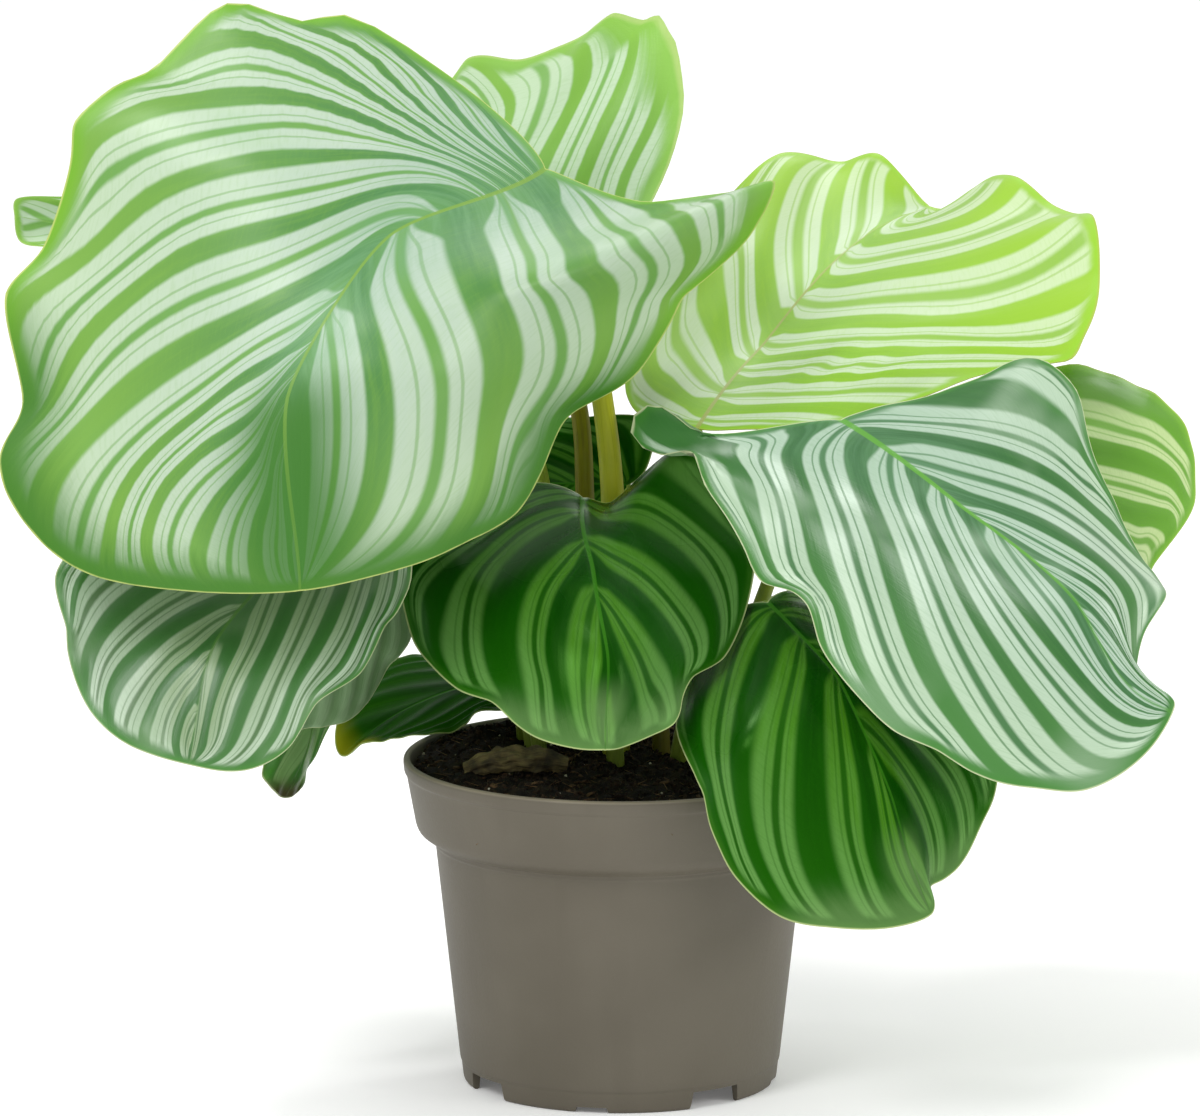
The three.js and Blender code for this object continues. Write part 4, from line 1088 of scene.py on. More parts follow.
def strewn(name, surface, tree, values):
    piece = surface.copy()
    piece.data = surface.data.copy()
    piece.name = name
    bpy.context.collection.objects.link(piece)
    modifier = piece.modifiers.new("strewn", "NODES")
    modifier.node_group = tree
    keys = {item.name: item.identifier for item in tree.interface.items_tree if item.in_out == "INPUT"}
    for key, value in values.items():
        modifier[keys[key]] = value
    applied(piece)
    bpy.data.objects.remove(values["Shape"])
    shadeFaces(piece.data, False)
    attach(piece, "root")
    return piece


def makeSoilPieces():
    peat = makeSoil(soilFinish("peat", soil["dark"], soil["brown"]))
    dressed(peat, "soil")
    area = math.pi * (soil["inside"] * mm) ** 2
    for k, (name, kind) in enumerate(strewnKinds.items()):
        finish = soilFinish(name, kind["dark"], kind["light"])
        smallest, largest = kind["size"]
        values = {
            "Density": kind["count"] / area,
            "Smallest": smallest,
            "Largest": largest,
            "Tilt": kind["tilt"],
            "Shape": crumbShape(name + "_shape", kind["stretch"], kind["jag"], 20 + k, finish),
        }
        strewn(name, peat, scatterTree(name, finish, 5 * k + 3), values)


sheath = {  # dried, on the soil
    "route": [(-50, -20, 106.5), (-41, -21, 109.5), (-30, -21, 110.5), (-17, -20, 108.5)],
    "steps": 48,
    "sides": 36,
    "thin": 1.4,  # mm, at its ends
    "thick": 2.6,  # mm more in the middle
    "creases": 0.45,
    "tan": shade(116, 104, 60),
    "brown": shade(46, 39, 20),
}


def sheathFinish():
    material, tree, shader = newFinish("dry sheath")
    along, around = ownValue(tree, "along"), ownValue(tree, "around")
    fibres = joined(tree, calc(tree, "MULTIPLY", along, 4.0), calc(tree, "MULTIPLY", around, 22.0))
    fibres = grain(tree, fibres, 2.0, 4)
    colour = coated(tree, sheath["tan"], [
        (fade(tree, grain(tree, objectPlace(tree), 160.0, 3), 0.35, 0.7), sheath["brown"]),
        (fade(tree, fibres, 0.45, 0.7, 0.0, 0.6), sheath["brown"]),
    ])
    paint(tree, shader, colour, 0.8, fibres, 0.0008, 0.8)
    return material


def makeSheath():
    def radiusAt(part, angles):
        plain = sheath["thin"] + sheath["thick"] * math.sin(math.pi * (0.1 + 0.8 * part))
        creases = [noise.noise(Vector((part * 9, 2.2 * math.cos(a), 2.2 * math.sin(a)))) for a in angles]
        return plain * (1 + sheath["creases"] * np.array(creases) + 0.05 * np.cos(11 * angles + 7 * part))
    route = smoothRoute(sheath["route"], sheath["steps"])
    piece = barPiece("dried_sheath_skin", route, radiusAt, sheath["sides"], sheathFinish())
    return dressed(piece, "dried_sheath")


studio = {
    "floor": (shade(254, 254, 254), shade(251, 251, 251)),
    "floorSize": 30.0,  # metres
    "floorGlow": 0.1,
    "sky": (1.0, 1.0, 1.0, 1.0),
    "skyStrength": 0.78,
    "lamps": {  # place and aim in metres, size in metres, watts
        "key": ((-1.1, -1.6, 1.9), (0, 0, 0.2), 0.8, 20),
        "side": ((1.8, -0.9, 1.2), (0, 0, 0.2), 0.7, 12),
        "top": ((-0.75, -0.15, 1.9), (0, 0, 0.2), 0.38, 11),
        "back": ((0.5, 1.6, 1.6), (0, 0, 0.25), 1.0, 6),
    },
}


def makeStudio():
    reach = studio["floorSize"] / 2
    corners = [(-reach, -reach, 0), (reach, -reach, 0), (reach, reach, 0), (-reach, reach, 0)]
    material, tree, shader = newFinish("floor")
    tone = fade(tree, grain(tree, objectPlace(tree), 1.5, 2), 0.3, 0.7)
    paint(tree, shader, mixed(tree, tone, *studio["floor"]), 0.9)
    setShine(shader, 0.1)
    shader.inputs["Emission Color"].default_value = studio["sky"]
    shader.inputs["Emission Strength"].default_value = studio["floorGlow"]
    floor = meshPiece("floor", np.array(corners) / mm, [(0, 1, 2, 3)], [material], smooth=False, origin=0)
    world = bpy.data.worlds.new("studio")
    world.use_nodes = True
    background = world.node_tree.nodes["Background"]
    background.inputs["Color"].default_value = studio["sky"]
    background.inputs["Strength"].default_value = studio["skyStrength"]
    bpy.context.scene.world = world
    for name, (place, aim, size, watts) in studio["lamps"].items():
        data = bpy.data.lights.new(name, "AREA")
        data.size, data.energy = size, watts
        lamp = bpy.data.objects.new(name, data)
        lamp.location = place
        lamp.rotation_euler = (Vector(aim) - Vector(place)).to_track_quat("-Z", "Y").to_euler()
        bpy.context.collection.objects.link(lamp)
    bpy.context.scene.view_settings.view_transform = "Standard"


# Every leaf is held by listed points in mm from the pot's axis: the midrib at parts v of its
# length, the margin at q on its right and left, and inside points given by side, s and t.
leaves = {
    "front_left": {
        "stalkSize": (5, 3.2),
        "waves": (8, 0, 0),
        "keel": 4.4,
        "stalk": [(-1, 4, 77.8), (-2, 5, 137.8), (-2.6, 5, 194.8), (-6, 5, 225.8), (-13, 5, 265.8)],
        "rib": [
            (0, -24, 5, 298.8), (0.35, -73, -45, 285.8), (0.7, -105, -88, 240.8), (1, -101, -100, 181.8),
        ],
        "right": [
            (0.25, -58.3, 22, 328.6), (0.36, -87, 25, 345.4), (0.46, -103.1, 25, 343.8),
            (0.56, -122.3, 22, 350.1), (0.66, -135.1, 18, 344.8), (0.76, -148.8, 12, 331.1),
            (0.86, -161.4, 6, 326.2), (0.95, -174.7, -1, 315.3), (1.04, -176.8, -8, 301.2),
            (1.13, -185.3, -16, 275.6), (1.21, -196.6, -23, 262.9), (1.34, -190.7, -38, 229.9),
            (1.44, -197.3, -50, 215.9), (1.52, -194.8, -58, 203.8), (1.6, -184.1, -66, 190.8),
            (1.7, -167.8, -78, 182.5), (1.82, -142, -90, 180.1),
        ],
        "left": [
            (0.4, 9.3, 10, 287.2), (0.7, 37.1, 20, 289.1), (0.85, 50.3, 22, 291.6),
            (0.97, 41.2, 16, 273.6), (1.06, 28.3, 8, 262.6), (1.13, 20.5, 0, 257.8),
            (1.2, 16.6, -7, 250.9), (1.27, 6.3, -17, 237.1), (1.34, -5.2, -27, 230.8),
            (1.41, -16.7, -36, 225.4), (1.5, -23.7, -48, 213.1), (1.6, -32.5, -64, 200),
            (1.7, -47.7, -76, 193.3), (1.8, -62.1, -88, 189), (1.9, -80.3, -94, 184.7),
        ],
        "belly": [
            (1, 0.35, 0.5, -122, -30, 308.8), (1, 0.7, 0.5, -134, -76, 239.3),
            (-1, 0.35, 0.5, -11, -48, 275.8), (-1, 0.7, 0.5, -55, -88, 245.8),
        ],
    },
    "top_back": {
        "stalkSize": (4, 2.8),
        "waves": (8, 0, 0),
        "stalk": [
            (-12, 17, 77.8), (-11.5, 22, 147.8), (-11.4, 25, 187.8), (-13, 30, 213.8), (-19, 37, 235.8),
        ],
        "rib": [
            (0, -27, 42, 252.8), (0.35, -42, 70, 265.8), (0.7, -57, 102, 273.8), (1, -73, 134, 267.8),
        ],
        "right": [
            (0.2, -3, 38, 263.8), (0.4, 13, 42, 287.1), (0.52, 18.5, 45, 301.4), (0.62, 20.8, 48, 314.1),
            (0.74, 18.5, 53, 331.4), (0.84, 13, 57, 340.3), (0.93, 8.1, 61, 338.3),
            (1.02, -2.6, 66, 339.9), (1.12, -10.8, 74, 332.4), (1.24, -19.6, 84, 325.9),
            (1.36, -32.8, 96, 319.8), (1.48, -42.8, 106, 319.3), (1.6, -50.4, 114, 317),
            (1.72, -56.2, 122, 307.8), (1.86, -72, 130, 285.8),
        ],
        "left": [
            (0.4, -30, 62, 233.8), (0.8, -44, 86, 219.8), (1, -58, 102, 217.8), (1.2, -74, 116, 223.8),
            (1.4, -86, 126, 233.8), (1.6, -90, 133, 245.8), (1.8, -85, 137, 257.8),
        ],
        "belly": [
            (1, 0.32, 0.55, -32, 66, 289.8), (1, 0.1, 0.6, -2, 50, 307.8),
            (-1, 0.35, 0.5, -46, 80, 245.8),
        ],
    },
    "far_left": {
        "waves": (7, 0.8, 0),
        "stalk": [
            (-24, 13, 77.8), (-23.5, 15, 117.8), (-24, 19, 157.8), (-24, 22, 187.8), (-31, 25, 209.8),
        ],
        "rib": [
            (0, -45, 26, 219.8), (0.35, -93, 30, 249.8), (0.7, -148, 30, 270.8), (1, -195.8, 25, 280.1),
        ],
        "right": [
            (0.5, -50, 42, 241.8), (1, -88, 48, 274.8), (1.2, -112, 46, 285.8), (1.4, -136.3, 42, 285.5),
            (1.6, -158.7, 36, 286.5), (1.8, -180.5, 30, 285.2), (1.92, -195.3, 27, 285),
        ],
        "left": [
            (0.5, -58, 20, 203.8), (1, -98, 14, 208.8), (1.2, -122, 16, 217.8), (1.4, -146, 18, 231.8),
            (1.6, -168, 19, 249.8), (1.76, -180.2, 20, 269.5), (1.92, -194.6, 24, 272.8),
        ],
        "belly": [(1, 0.35, 0.5, -90, 36, 261.8), (-1, 0.35, 0.5, -98, 20, 228.8)],
    },
    "upper_right": {
        "waves": (8, 0, 0),
        "stalk": [(14, 8, 77.8), (13, 10, 147.8), (15, 9, 182.8), (20, 3, 203.8)],
        "rib": [
            (0, 24.7, -15, 217.9), (0.35, 46.8, 37, 235.7), (0.7, 72.9, 88, 255.9), (1, 103, 136, 263.9),
        ],
        "right": [
            (0.12, 36.9, -14, 216.6), (0.25, 56.2, -10, 216.8), (0.4, 73.9, -6, 217.7),
            (0.5, 87.9, 2, 221.1), (0.75, 118, 6, 231.8), (0.9, 144.2, 8, 235.6), (1, 150.2, 16, 242.3),
            (1.1, 154.5, 28, 250.1), (1.22, 156.1, 46, 259.5), (1.36, 154.7, 64, 272.9),
            (1.46, 149.7, 78, 271.9), (1.56, 141.3, 92, 272.9), (1.66, 131.9, 106, 278.3),
            (1.76, 123.1, 120, 276), (1.88, 114.5, 130, 266.6),
        ],
        "left": [
            (0.22, 7.1, -4, 219.8), (0.38, 2.9, 3, 223.4), (0.52, 1.6, 12, 228.3), (0.68, 6.5, 30, 239.9),
            (0.84, 14.7, 56, 256.8), (1, 26.9, 90, 265.9), (1.2, 42.3, 117, 277.1),
            (1.38, 54.1, 134, 282.4), (1.52, 64.9, 143, 279.6), (1.66, 75.6, 148, 277.1),
            (1.8, 86.6, 147, 279.3), (1.9, 95.5, 142, 271.3),
        ],
        "belly": [(1, 0.35, 0.5, 100, 22, 241.8), (-1, 0.3, 0.5, 32, 62, 259.8)],
    },
    "front_right": {
        "waves": (7, 0, 0),
        "keel": 3.4,
        "stalk": [(24, 9, 77.8), (32, 7, 117.8), (44, 2, 152.8), (58, -8, 192.8)],
        "rib": [
            (0, 70.3, -30, 223.6), (0.35, 108.4, -70, 202.6), (0.7, 144.2, -100, 177.2),
            (1, 173.6, -112, 145),
        ],
        "right": [
            (0.22, 32.6, -31, 218.5), (0.32, 23, -27, 219.8), (0.4, 14.4, -18, 224.6),
            (0.46, 8.3, -14, 224.9), (0.51, 3.9, -16, 221), (0.56, 4.2, -20, 215.2),
            (0.62, 11.8, -27, 211.6), (0.7, 22.4, -37, 214.8), (0.77, 25.8, -44, 207),
            (0.86, 32.5, -52, 197.8), (0.96, 39.7, -60, 186.4), (1.04, 45.7, -65, 177),
            (1.1, 54, -69, 175.3), (1.15, 59.6, -74, 171.1), (1.21, 62.7, -79, 161.1),
            (1.28, 68, -85, 153.3), (1.36, 76.5, -92, 144.4), (1.44, 86.8, -97, 135.7),
            (1.52, 99.4, -102, 131), (1.6, 109.4, -106, 125.4), (1.68, 120.6, -110, 121.8),
            (1.76, 132.2, -113, 120.8), (1.84, 145.3, -115, 120.6), (1.91, 157.8, -117, 126.8),
            (1.97, 168.7, -116, 137.2),
        ],
        "left": [
            (0.28, 100.9, -22, 229.9), (0.42, 115.3, -19, 235.5), (0.57, 128.2, -18, 241.2),
            (0.68, 137.6, -22, 240.3), (0.76, 144.5, -27, 234.7), (0.84, 147.9, -32, 227.2),
            (0.92, 150.6, -40, 214.4), (1, 156.1, -48, 202.9), (1.14, 161.6, -56, 192.1),
            (1.3, 167.7, -64, 182), (1.44, 172.5, -72, 177.8), (1.54, 172.2, -80, 174.9),
            (1.66, 165.3, -88, 165.5), (1.78, 162.5, -97, 152.8), (1.9, 167.6, -104, 149.5),
        ],
    },
    "front_centre": {
        "waves": (7, 0, 0),
        "stalk": [(0, -9, 77.8), (-3, -10, 127.8), (-9, -10, 172.8)],
        "rib": [(0, -12, -12, 194.3), (0.35, -9, -50, 179.8), (0.7, -4, -82, 156.5), (1, -5, -95, 129.3)],
        "right": [
            (0.3, -32, 0, 196.8), (0.6, -52, -14, 184.8), (0.82, -66.8, -24, 176.1),
            (1, -69.5, -34, 162.7), (1.1, -66.5, -44, 154), (1.2, -60.6, -54, 148.2),
            (1.32, -50.9, -66, 142.2), (1.44, -41.3, -74, 140.6), (1.56, -34.3, -80, 135.4),
            (1.68, -26.9, -85, 131.3), (1.84, -14.2, -92, 129.2),
        ],
        "left": [
            (0.16, -3, -8, 191.8), (0.34, 6.4, -5, 200), (0.6, 22.5, -8, 209.4), (0.85, 39, -16, 187.8),
            (1, 43, -28, 173.8), (1.14, 39, -40, 159.7), (1.26, 32.6, -52, 149.7),
            (1.38, 23.6, -60, 145.9), (1.5, 19.7, -68, 140.4), (1.62, 17.1, -76, 133.9),
            (1.72, 10.1, -82, 131.3), (1.84, 1.6, -89, 129.2),
        ],
        "belly": [
            (1, 0.5, 0.5, -46, -50, 169.8), (-1, 0.15, 0.5, 16, -16, 200.8),
            (-1, 0.5, 0.5, 17, -46, 172.5),
        ],
    },
    "low_right": {
        "spacing": (-0.1, 4.8),
        "waves": (7, 0, 0),
        "stalk": [(16, 1, 77.8), (22, -5, 122.8), (37, -24, 151.8)],
        "rib": [(0, 47, -34, 164.8), (0.35, 69, -67, 146.8), (0.7, 86, -91, 112.8), (1, 98.5, -98, 76.8)],
        "right": [
            (0.3, 25, -24, 149.8), (0.55, 18.2, -52, 134.1), (0.66, 17.8, -62, 128.4),
            (0.78, 22.3, -72, 119.4), (0.9, 25.7, -78, 112.3), (1.02, 28.6, -83, 101.7),
            (1.2, 35.8, -90, 87.9), (1.4, 50.4, -96, 75.6), (1.6, 66.2, -100, 73),
            (1.8, 83.8, -102, 73.1),
        ],
        "left": [
            (0.3, 62, -24, 165.8), (0.6, 88, -30, 160.8), (0.85, 109, -45, 146.8), (1, 118, -56, 131.8),
            (1.2, 120.4, -66, 114.6), (1.4, 115.1, -76, 101.4), (1.58, 107.3, -86, 89.3),
            (1.7, 101.5, -90, 85.7), (1.8, 98.2, -93, 84.4), (1.9, 99.5, -96, 80.5),
        ],
        "belly": [(1, 0.4, 0.5, 38, -85, 127.8), (-1, 0.4, 0.5, 92, -62, 137.8)],
    },
    "low_left": {
        "waves": (7, 0, 0),
        "stalk": [(-28, 7, 77.8), (-28.5, 6, 112), (-33, 6.5, 127), (-44, 9.5, 142), (-66, 20, 183.8)],
        "rib": [
            (0, -75, 15, 193.8), (0.35, -103, -27, 179.8), (0.7, -130, -65, 155.3), (1, -137, -80, 121.3),
        ],
        "right": [
            (0.4, -95, -14, 201.8), (0.75, -140, -24, 197.8), (0.9, -164, -25, 190.8),
            (1, -175, -27, 181.8), (1.12, -181, -34, 172.8), (1.2, -180, -38, 165.8),
            (1.3, -177, -45, 157.8), (1.4, -176.5, -52, 152.3), (1.6, -169.5, -64, 136.3),
            (1.8, -156, -74, 126.3),
        ],
        "left": [
            (0.25, -66, -20, 200.8), (0.5, -56.5, -50, 185.3), (0.66, -64.3, -54, 196),
            (0.82, -66.5, -58, 176.8), (1, -75, -62, 162.3), (1.2, -83, -66, 147.8),
            (1.4, -96.3, -72, 139.8), (1.6, -105, -78, 126.8), (1.8, -119.7, -82, 119.8),
        ],
        "belly": [(-1, 0.5, 0.5, -87.6, -58, 159.8)],
    },
    "low_left_inner": {
        "stalkSize": (2.8, 1.6),
        "waves": (6, 0.8, 0),
        "stalk": [(-25.5, -2, 77.8), (-26.5, -2, 112), (-31, -2, 127), (-50, 0, 146), (-71, 3, 167.8)],
        "rib": [
            (0, -80, 4, 181.8), (0.35, -98, -6, 157.8), (0.7, -112, -10, 131.8), (1, -122, -6, 109.8),
        ],
        "right": [
            (0.4, -70, 14, 169.8), (0.8, -67.8, 22, 143.2), (1, -75, 22, 131.8), (1.2, -81.4, 20, 119.8),
            (1.4, -89, 16, 115.8), (1.6, -97.4, 10, 114.4), (1.8, -105, 4, 113.8),
        ],
        "left": [
            (0.4, -96, -8, 181.8), (0.8, -116, -20, 171.8), (1, -127, -26, 159.8),
            (1.2, -134, -26, 143.8), (1.4, -136, -23, 129.8), (1.6, -134, -16, 117.8),
            (1.8, -128, -11, 111.8),
        ],
        "belly": [(1, 0.4, 0.5, -82, 8, 143.8), (-1, 0.4, 0.5, -112, -18, 155.8)],
    },
    "small_drooping": {
        "spacing": (0.6, 2.4),
        "stalkSize": (2.4, 1.3),
        "waves": (5, 0.5, 0),
        "stalk": [
            (-31, 24, 77.8), (-31.5, 20, 105.8), (-33, 14, 119.8), (-40, 16, 139.8), (-60, 28, 150.8),
            (-79, 37, 150.8),
        ],
        "rib": [(0, -88, 36, 145.8), (0.35, -97, 32, 123.8), (0.7, -102, 26, 103.8), (1, -109, 18, 88.8)],
        "right": [
            (0.5, -96, 28, 139.8), (1, -108, 20, 121.8), (1.2, -113, 17, 109.8), (1.4, -116, 14, 97.8),
            (1.6, -115, 14, 94.8), (1.8, -112, 15, 90.8),
        ],
        "left": [
            (0.5, -80, 38, 139.8), (1, -87, 34, 123.8), (1.1, -92.1, 33, 114.4), (1.2, -96.3, 32, 106.6),
            (1.35, -100.9, 30, 98.3), (1.5, -103.5, 28, 93.7), (1.7, -104, 23, 90.3),
        ],
    },
    "low_side": {
        "stalkSize": (2.6, 1.5),
        "waves": (5, 0.8, 0),
        "stalk": [(6, 24, 77.8), (2, 26, 115.8)],
        "rib": [(0, -12, 30, 127.8), (0.35, -42, 38, 123.8), (0.7, -70, 44, 112.8), (1, -91.5, 46, 96.8)],
        "right": [
            (0.5, -24, 47, 133.8), (0.75, -45, 60, 129.8), (1, -63.5, 70, 124.8), (1.2, -75, 68, 123.8),
            (1.4, -84, 64, 117.8), (1.6, -90, 58, 111.8), (1.8, -93, 52, 103.8),
        ],
        "left": [
            (0.5, -24, 20, 117.8), (0.75, -38.5, 20, 116.8), (0.9, -46.5, 21, 116.5),
            (1.05, -53.4, 23, 111.1), (1.2, -60, 25, 108.4), (1.4, -70, 30, 106.3), (1.6, -78, 36, 103.8),
            (1.8, -85, 42, 101.8),
        ],
    },
    "far_right": {
        "waves": (7, 0.5, 0),
        "stalk": [(28, 14, 77.8), (40, 18, 117.8), (66, 24, 162.8), (98, 31, 197.8)],
        "rib": [(0, 121, 35, 215.8), (0.35, 140, 12, 203.8), (0.7, 157, -8, 186.4), (1, 168, -25, 166.8)],
        "right": [
            (0.4, 108, 22, 197.8), (0.8, 118, 0, 177.8), (1, 124, -12, 167.8), (1.2, 132, -22, 160.8),
            (1.4, 142, -28, 156.8), (1.6, 152, -30, 156.8), (1.8, 161, -29, 160.8),
        ],
        "left": [
            (0.4, 140, 45, 225.8), (0.7, 160, 48, 223.8), (0.9, 174.6, 42, 218.5), (1, 182, 38, 210.8),
            (1.2, 186.6, 28, 199.8), (1.4, 186, 15, 187.3), (1.6, 179, 0, 178.8), (1.8, 172, -14, 172.8),
        ],
        "belly": [(-1, 0.3, 0.5, 166, 25, 211.4), (1, 0.35, 0.5, 128, 2, 189.8)],
    },
    "inner_back": {
        "stalk": [(-4, 31, 77.8), (-1, 35, 127.8), (2, 40, 167.8)],
        "rib": [(0, 3, 43, 187.8), (0.35, -32, 56, 185.8), (0.7, -66, 66, 181.8), (1, -98, 72, 169.8)],
        "right": [
            (0.2, 8, 43, 191.8), (0.4, 10.5, 44, 199.8), (0.65, 7, 47, 209.8), (0.85, -10, 50, 208.8),
            (1, -30, 54, 209.8), (1.2, -50, 60, 209.8), (1.4, -68, 66, 205.8), (1.6, -82, 70, 196.8),
            (1.8, -92, 73, 184.8),
        ],
        "left": [
            (0.4, -2, 46, 169.8), (0.8, -22, 52, 157.8), (1, -38, 58, 153.8), (1.2, -56, 64, 152.8),
            (1.4, -72, 68, 154.8), (1.6, -84, 71, 158.8), (1.8, -93, 72, 163.8),
        ],
        "belly": [(1, 0.35, 0.5, -30, 50, 200.8), (-1, 0.35, 0.5, -26, 50, 167.8)],
    },
    "back_right": {
        "waves": (7, 2, 0),
        "stalk": [(10, 34, 77.8), (14, 38, 127.8), (23, 44, 165.8)],
        "rib": [(0, 30, 50, 182.8), (0.35, 58, 85, 187.8), (0.7, 84, 118, 169.8), (1, 100, 138, 137.8)],
        "right": [
            (0.4, 58, 48, 177.8), (0.8, 86, 60, 173.8), (1, 104, 74, 165.8), (1.2, 115, 88, 157.8),
            (1.4, 120, 104, 149.8), (1.6, 117, 120, 143.8), (1.8, 109, 131, 139.8),
        ],
        "left": [
            (0.4, 22, 70, 179.8), (0.8, 26, 98, 173.8), (1, 34, 114, 165.8), (1.2, 46, 128, 157.8),
            (1.4, 60, 139, 149.8), (1.6, 75, 145, 143.8), (1.8, 88, 144, 139.8),
        ],
        "belly": [(1, 0.35, 0.5, 80, 78, 183.8), (-1, 0.35, 0.5, 46, 100, 183.8)],
    },
    "back_left": {
        "waves": (7, 1.8, 1),
        "stalk": [(-15, 40, 77.8), (-12, 48, 112.8), (-7, 57, 137.8)],
        "rib": [(0, -4, 64, 149.8), (0.35, -22, 92, 155.8), (0.7, -40, 118, 143.8), (1, -56, 136, 115.8)],
        "right": [
            (0.4, 12, 76, 155.8), (0.8, 14, 104, 153.8), (1, 6, 120, 147.8), (1.2, -4, 132, 139.8),
            (1.4, -18, 140, 131.8), (1.6, -32, 143, 124.8), (1.8, -47, 141, 119.8),
        ],
        "left": [
            (0.4, -22, 76, 148.8), (0.8, -46, 90, 144.8), (1, -56, 100, 139.8), (1.2, -62, 112, 133.8),
            (1.4, -63, 122, 127.8), (1.6, -62, 129, 121.8), (1.8, -60, 133, 118.8),
        ],
        "belly": [(1, 0.35, 0.5, -2, 104, 157.8), (-1, 0.35, 0.5, -36, 92, 151.8)],
    },
    "back_low": {
        "waves": (6, 1.2, 0.4),
        "stalk": [(20, 25, 77.8), (23, 28, 102.8), (29, 34, 125.8)],
        "rib": [(0, 34, 38, 137.8), (0.35, 60, 58, 143.8), (0.7, 86, 78, 131.8), (1, 104, 92, 103.8)],
        "right": [
            (0.4, 54, 30, 139.8), (0.8, 82, 36, 135.8), (1, 98, 44, 129.8), (1.2, 109, 56, 121.8),
            (1.4, 115, 68, 114.8), (1.6, 115, 78, 108.8), (1.8, 111, 86, 104.8),
        ],
        "left": [
            (0.4, 32, 60, 140.8), (0.8, 42, 82, 135.8), (1, 52, 94, 129.8), (1.2, 64, 102, 121.8),
            (1.4, 76, 106, 113.8), (1.6, 88, 106, 107.8), (1.8, 97, 100, 103.8),
        ],
        "belly": [(1, 0.35, 0.5, 78, 54, 144.8), (-1, 0.35, 0.5, 56, 78, 144.8)],
    },
}


# What each leaf looks like. Colours are display values, 0 to 255.
commonLook = {
    "sway": 0.06,  # how far the bands wander, in bands
    "share": 0.3,  # of each band pair that is dark
    "uneven": 0.12,
    "soft": 0.06,
    "ribShare": 0.3,  # how much the dark bands widen at the midrib
    "ribReach": 0.1,
    "border": 2.6,  # mm of plain green along the margin
    "stripe": 0.11,  # the thin dark stripe down the middle of each pale band
    "stripeDepth": 0.95,
    "hair": 0.5,  # the hairlines beside it
    "rough": 0.34,
    "roughSpread": 0.16,
    "specular": 0.5,
    "glint": (255, 255, 255),
    "cloudAndSheen": 0.15,
    "ribSheen": 0.0,  # a dull whitish painted sheen beside the midrib
    "ribSheenColour": (120, 160, 130),
    "tipWitherShadeSheenShare": 0.0,  # how strongly the tip zone takes its colour: the tip's own withering on the withered and shaded looks, painted shade on the fresh look, a painted highlight on the dark look
    "tipStart": 0.7,  # of the leaf's length
    "tipReach": 14.0,  # mm in from the margin
    "tipWitherShadeSheenColour": (66, 124, 36),
}

freshLook = dict(
    commonLook, slot="leaf_fresh", ribShare=0.5, ribReach=0.12,
    under=(112, 150, 88), underOut=(126, 164, 100), underPale=(158, 188, 144),
)
limeLook = dict(
    commonLook, slot="leaf_lime", border=2.4, ribReach=0.08,
    under=(130, 166, 84), underOut=(140, 176, 94), underPale=(168, 194, 130),
)
silverLook = dict(
    commonLook, slot="leaf_silver", under=(96, 130, 84), underOut=(108, 142, 94), underPale=(140, 168, 128),
)
darkLook = dict(
    commonLook, slot="leaf_dark", under=(70, 112, 60), underOut=(82, 124, 70), underPale=(112, 150, 98),
)

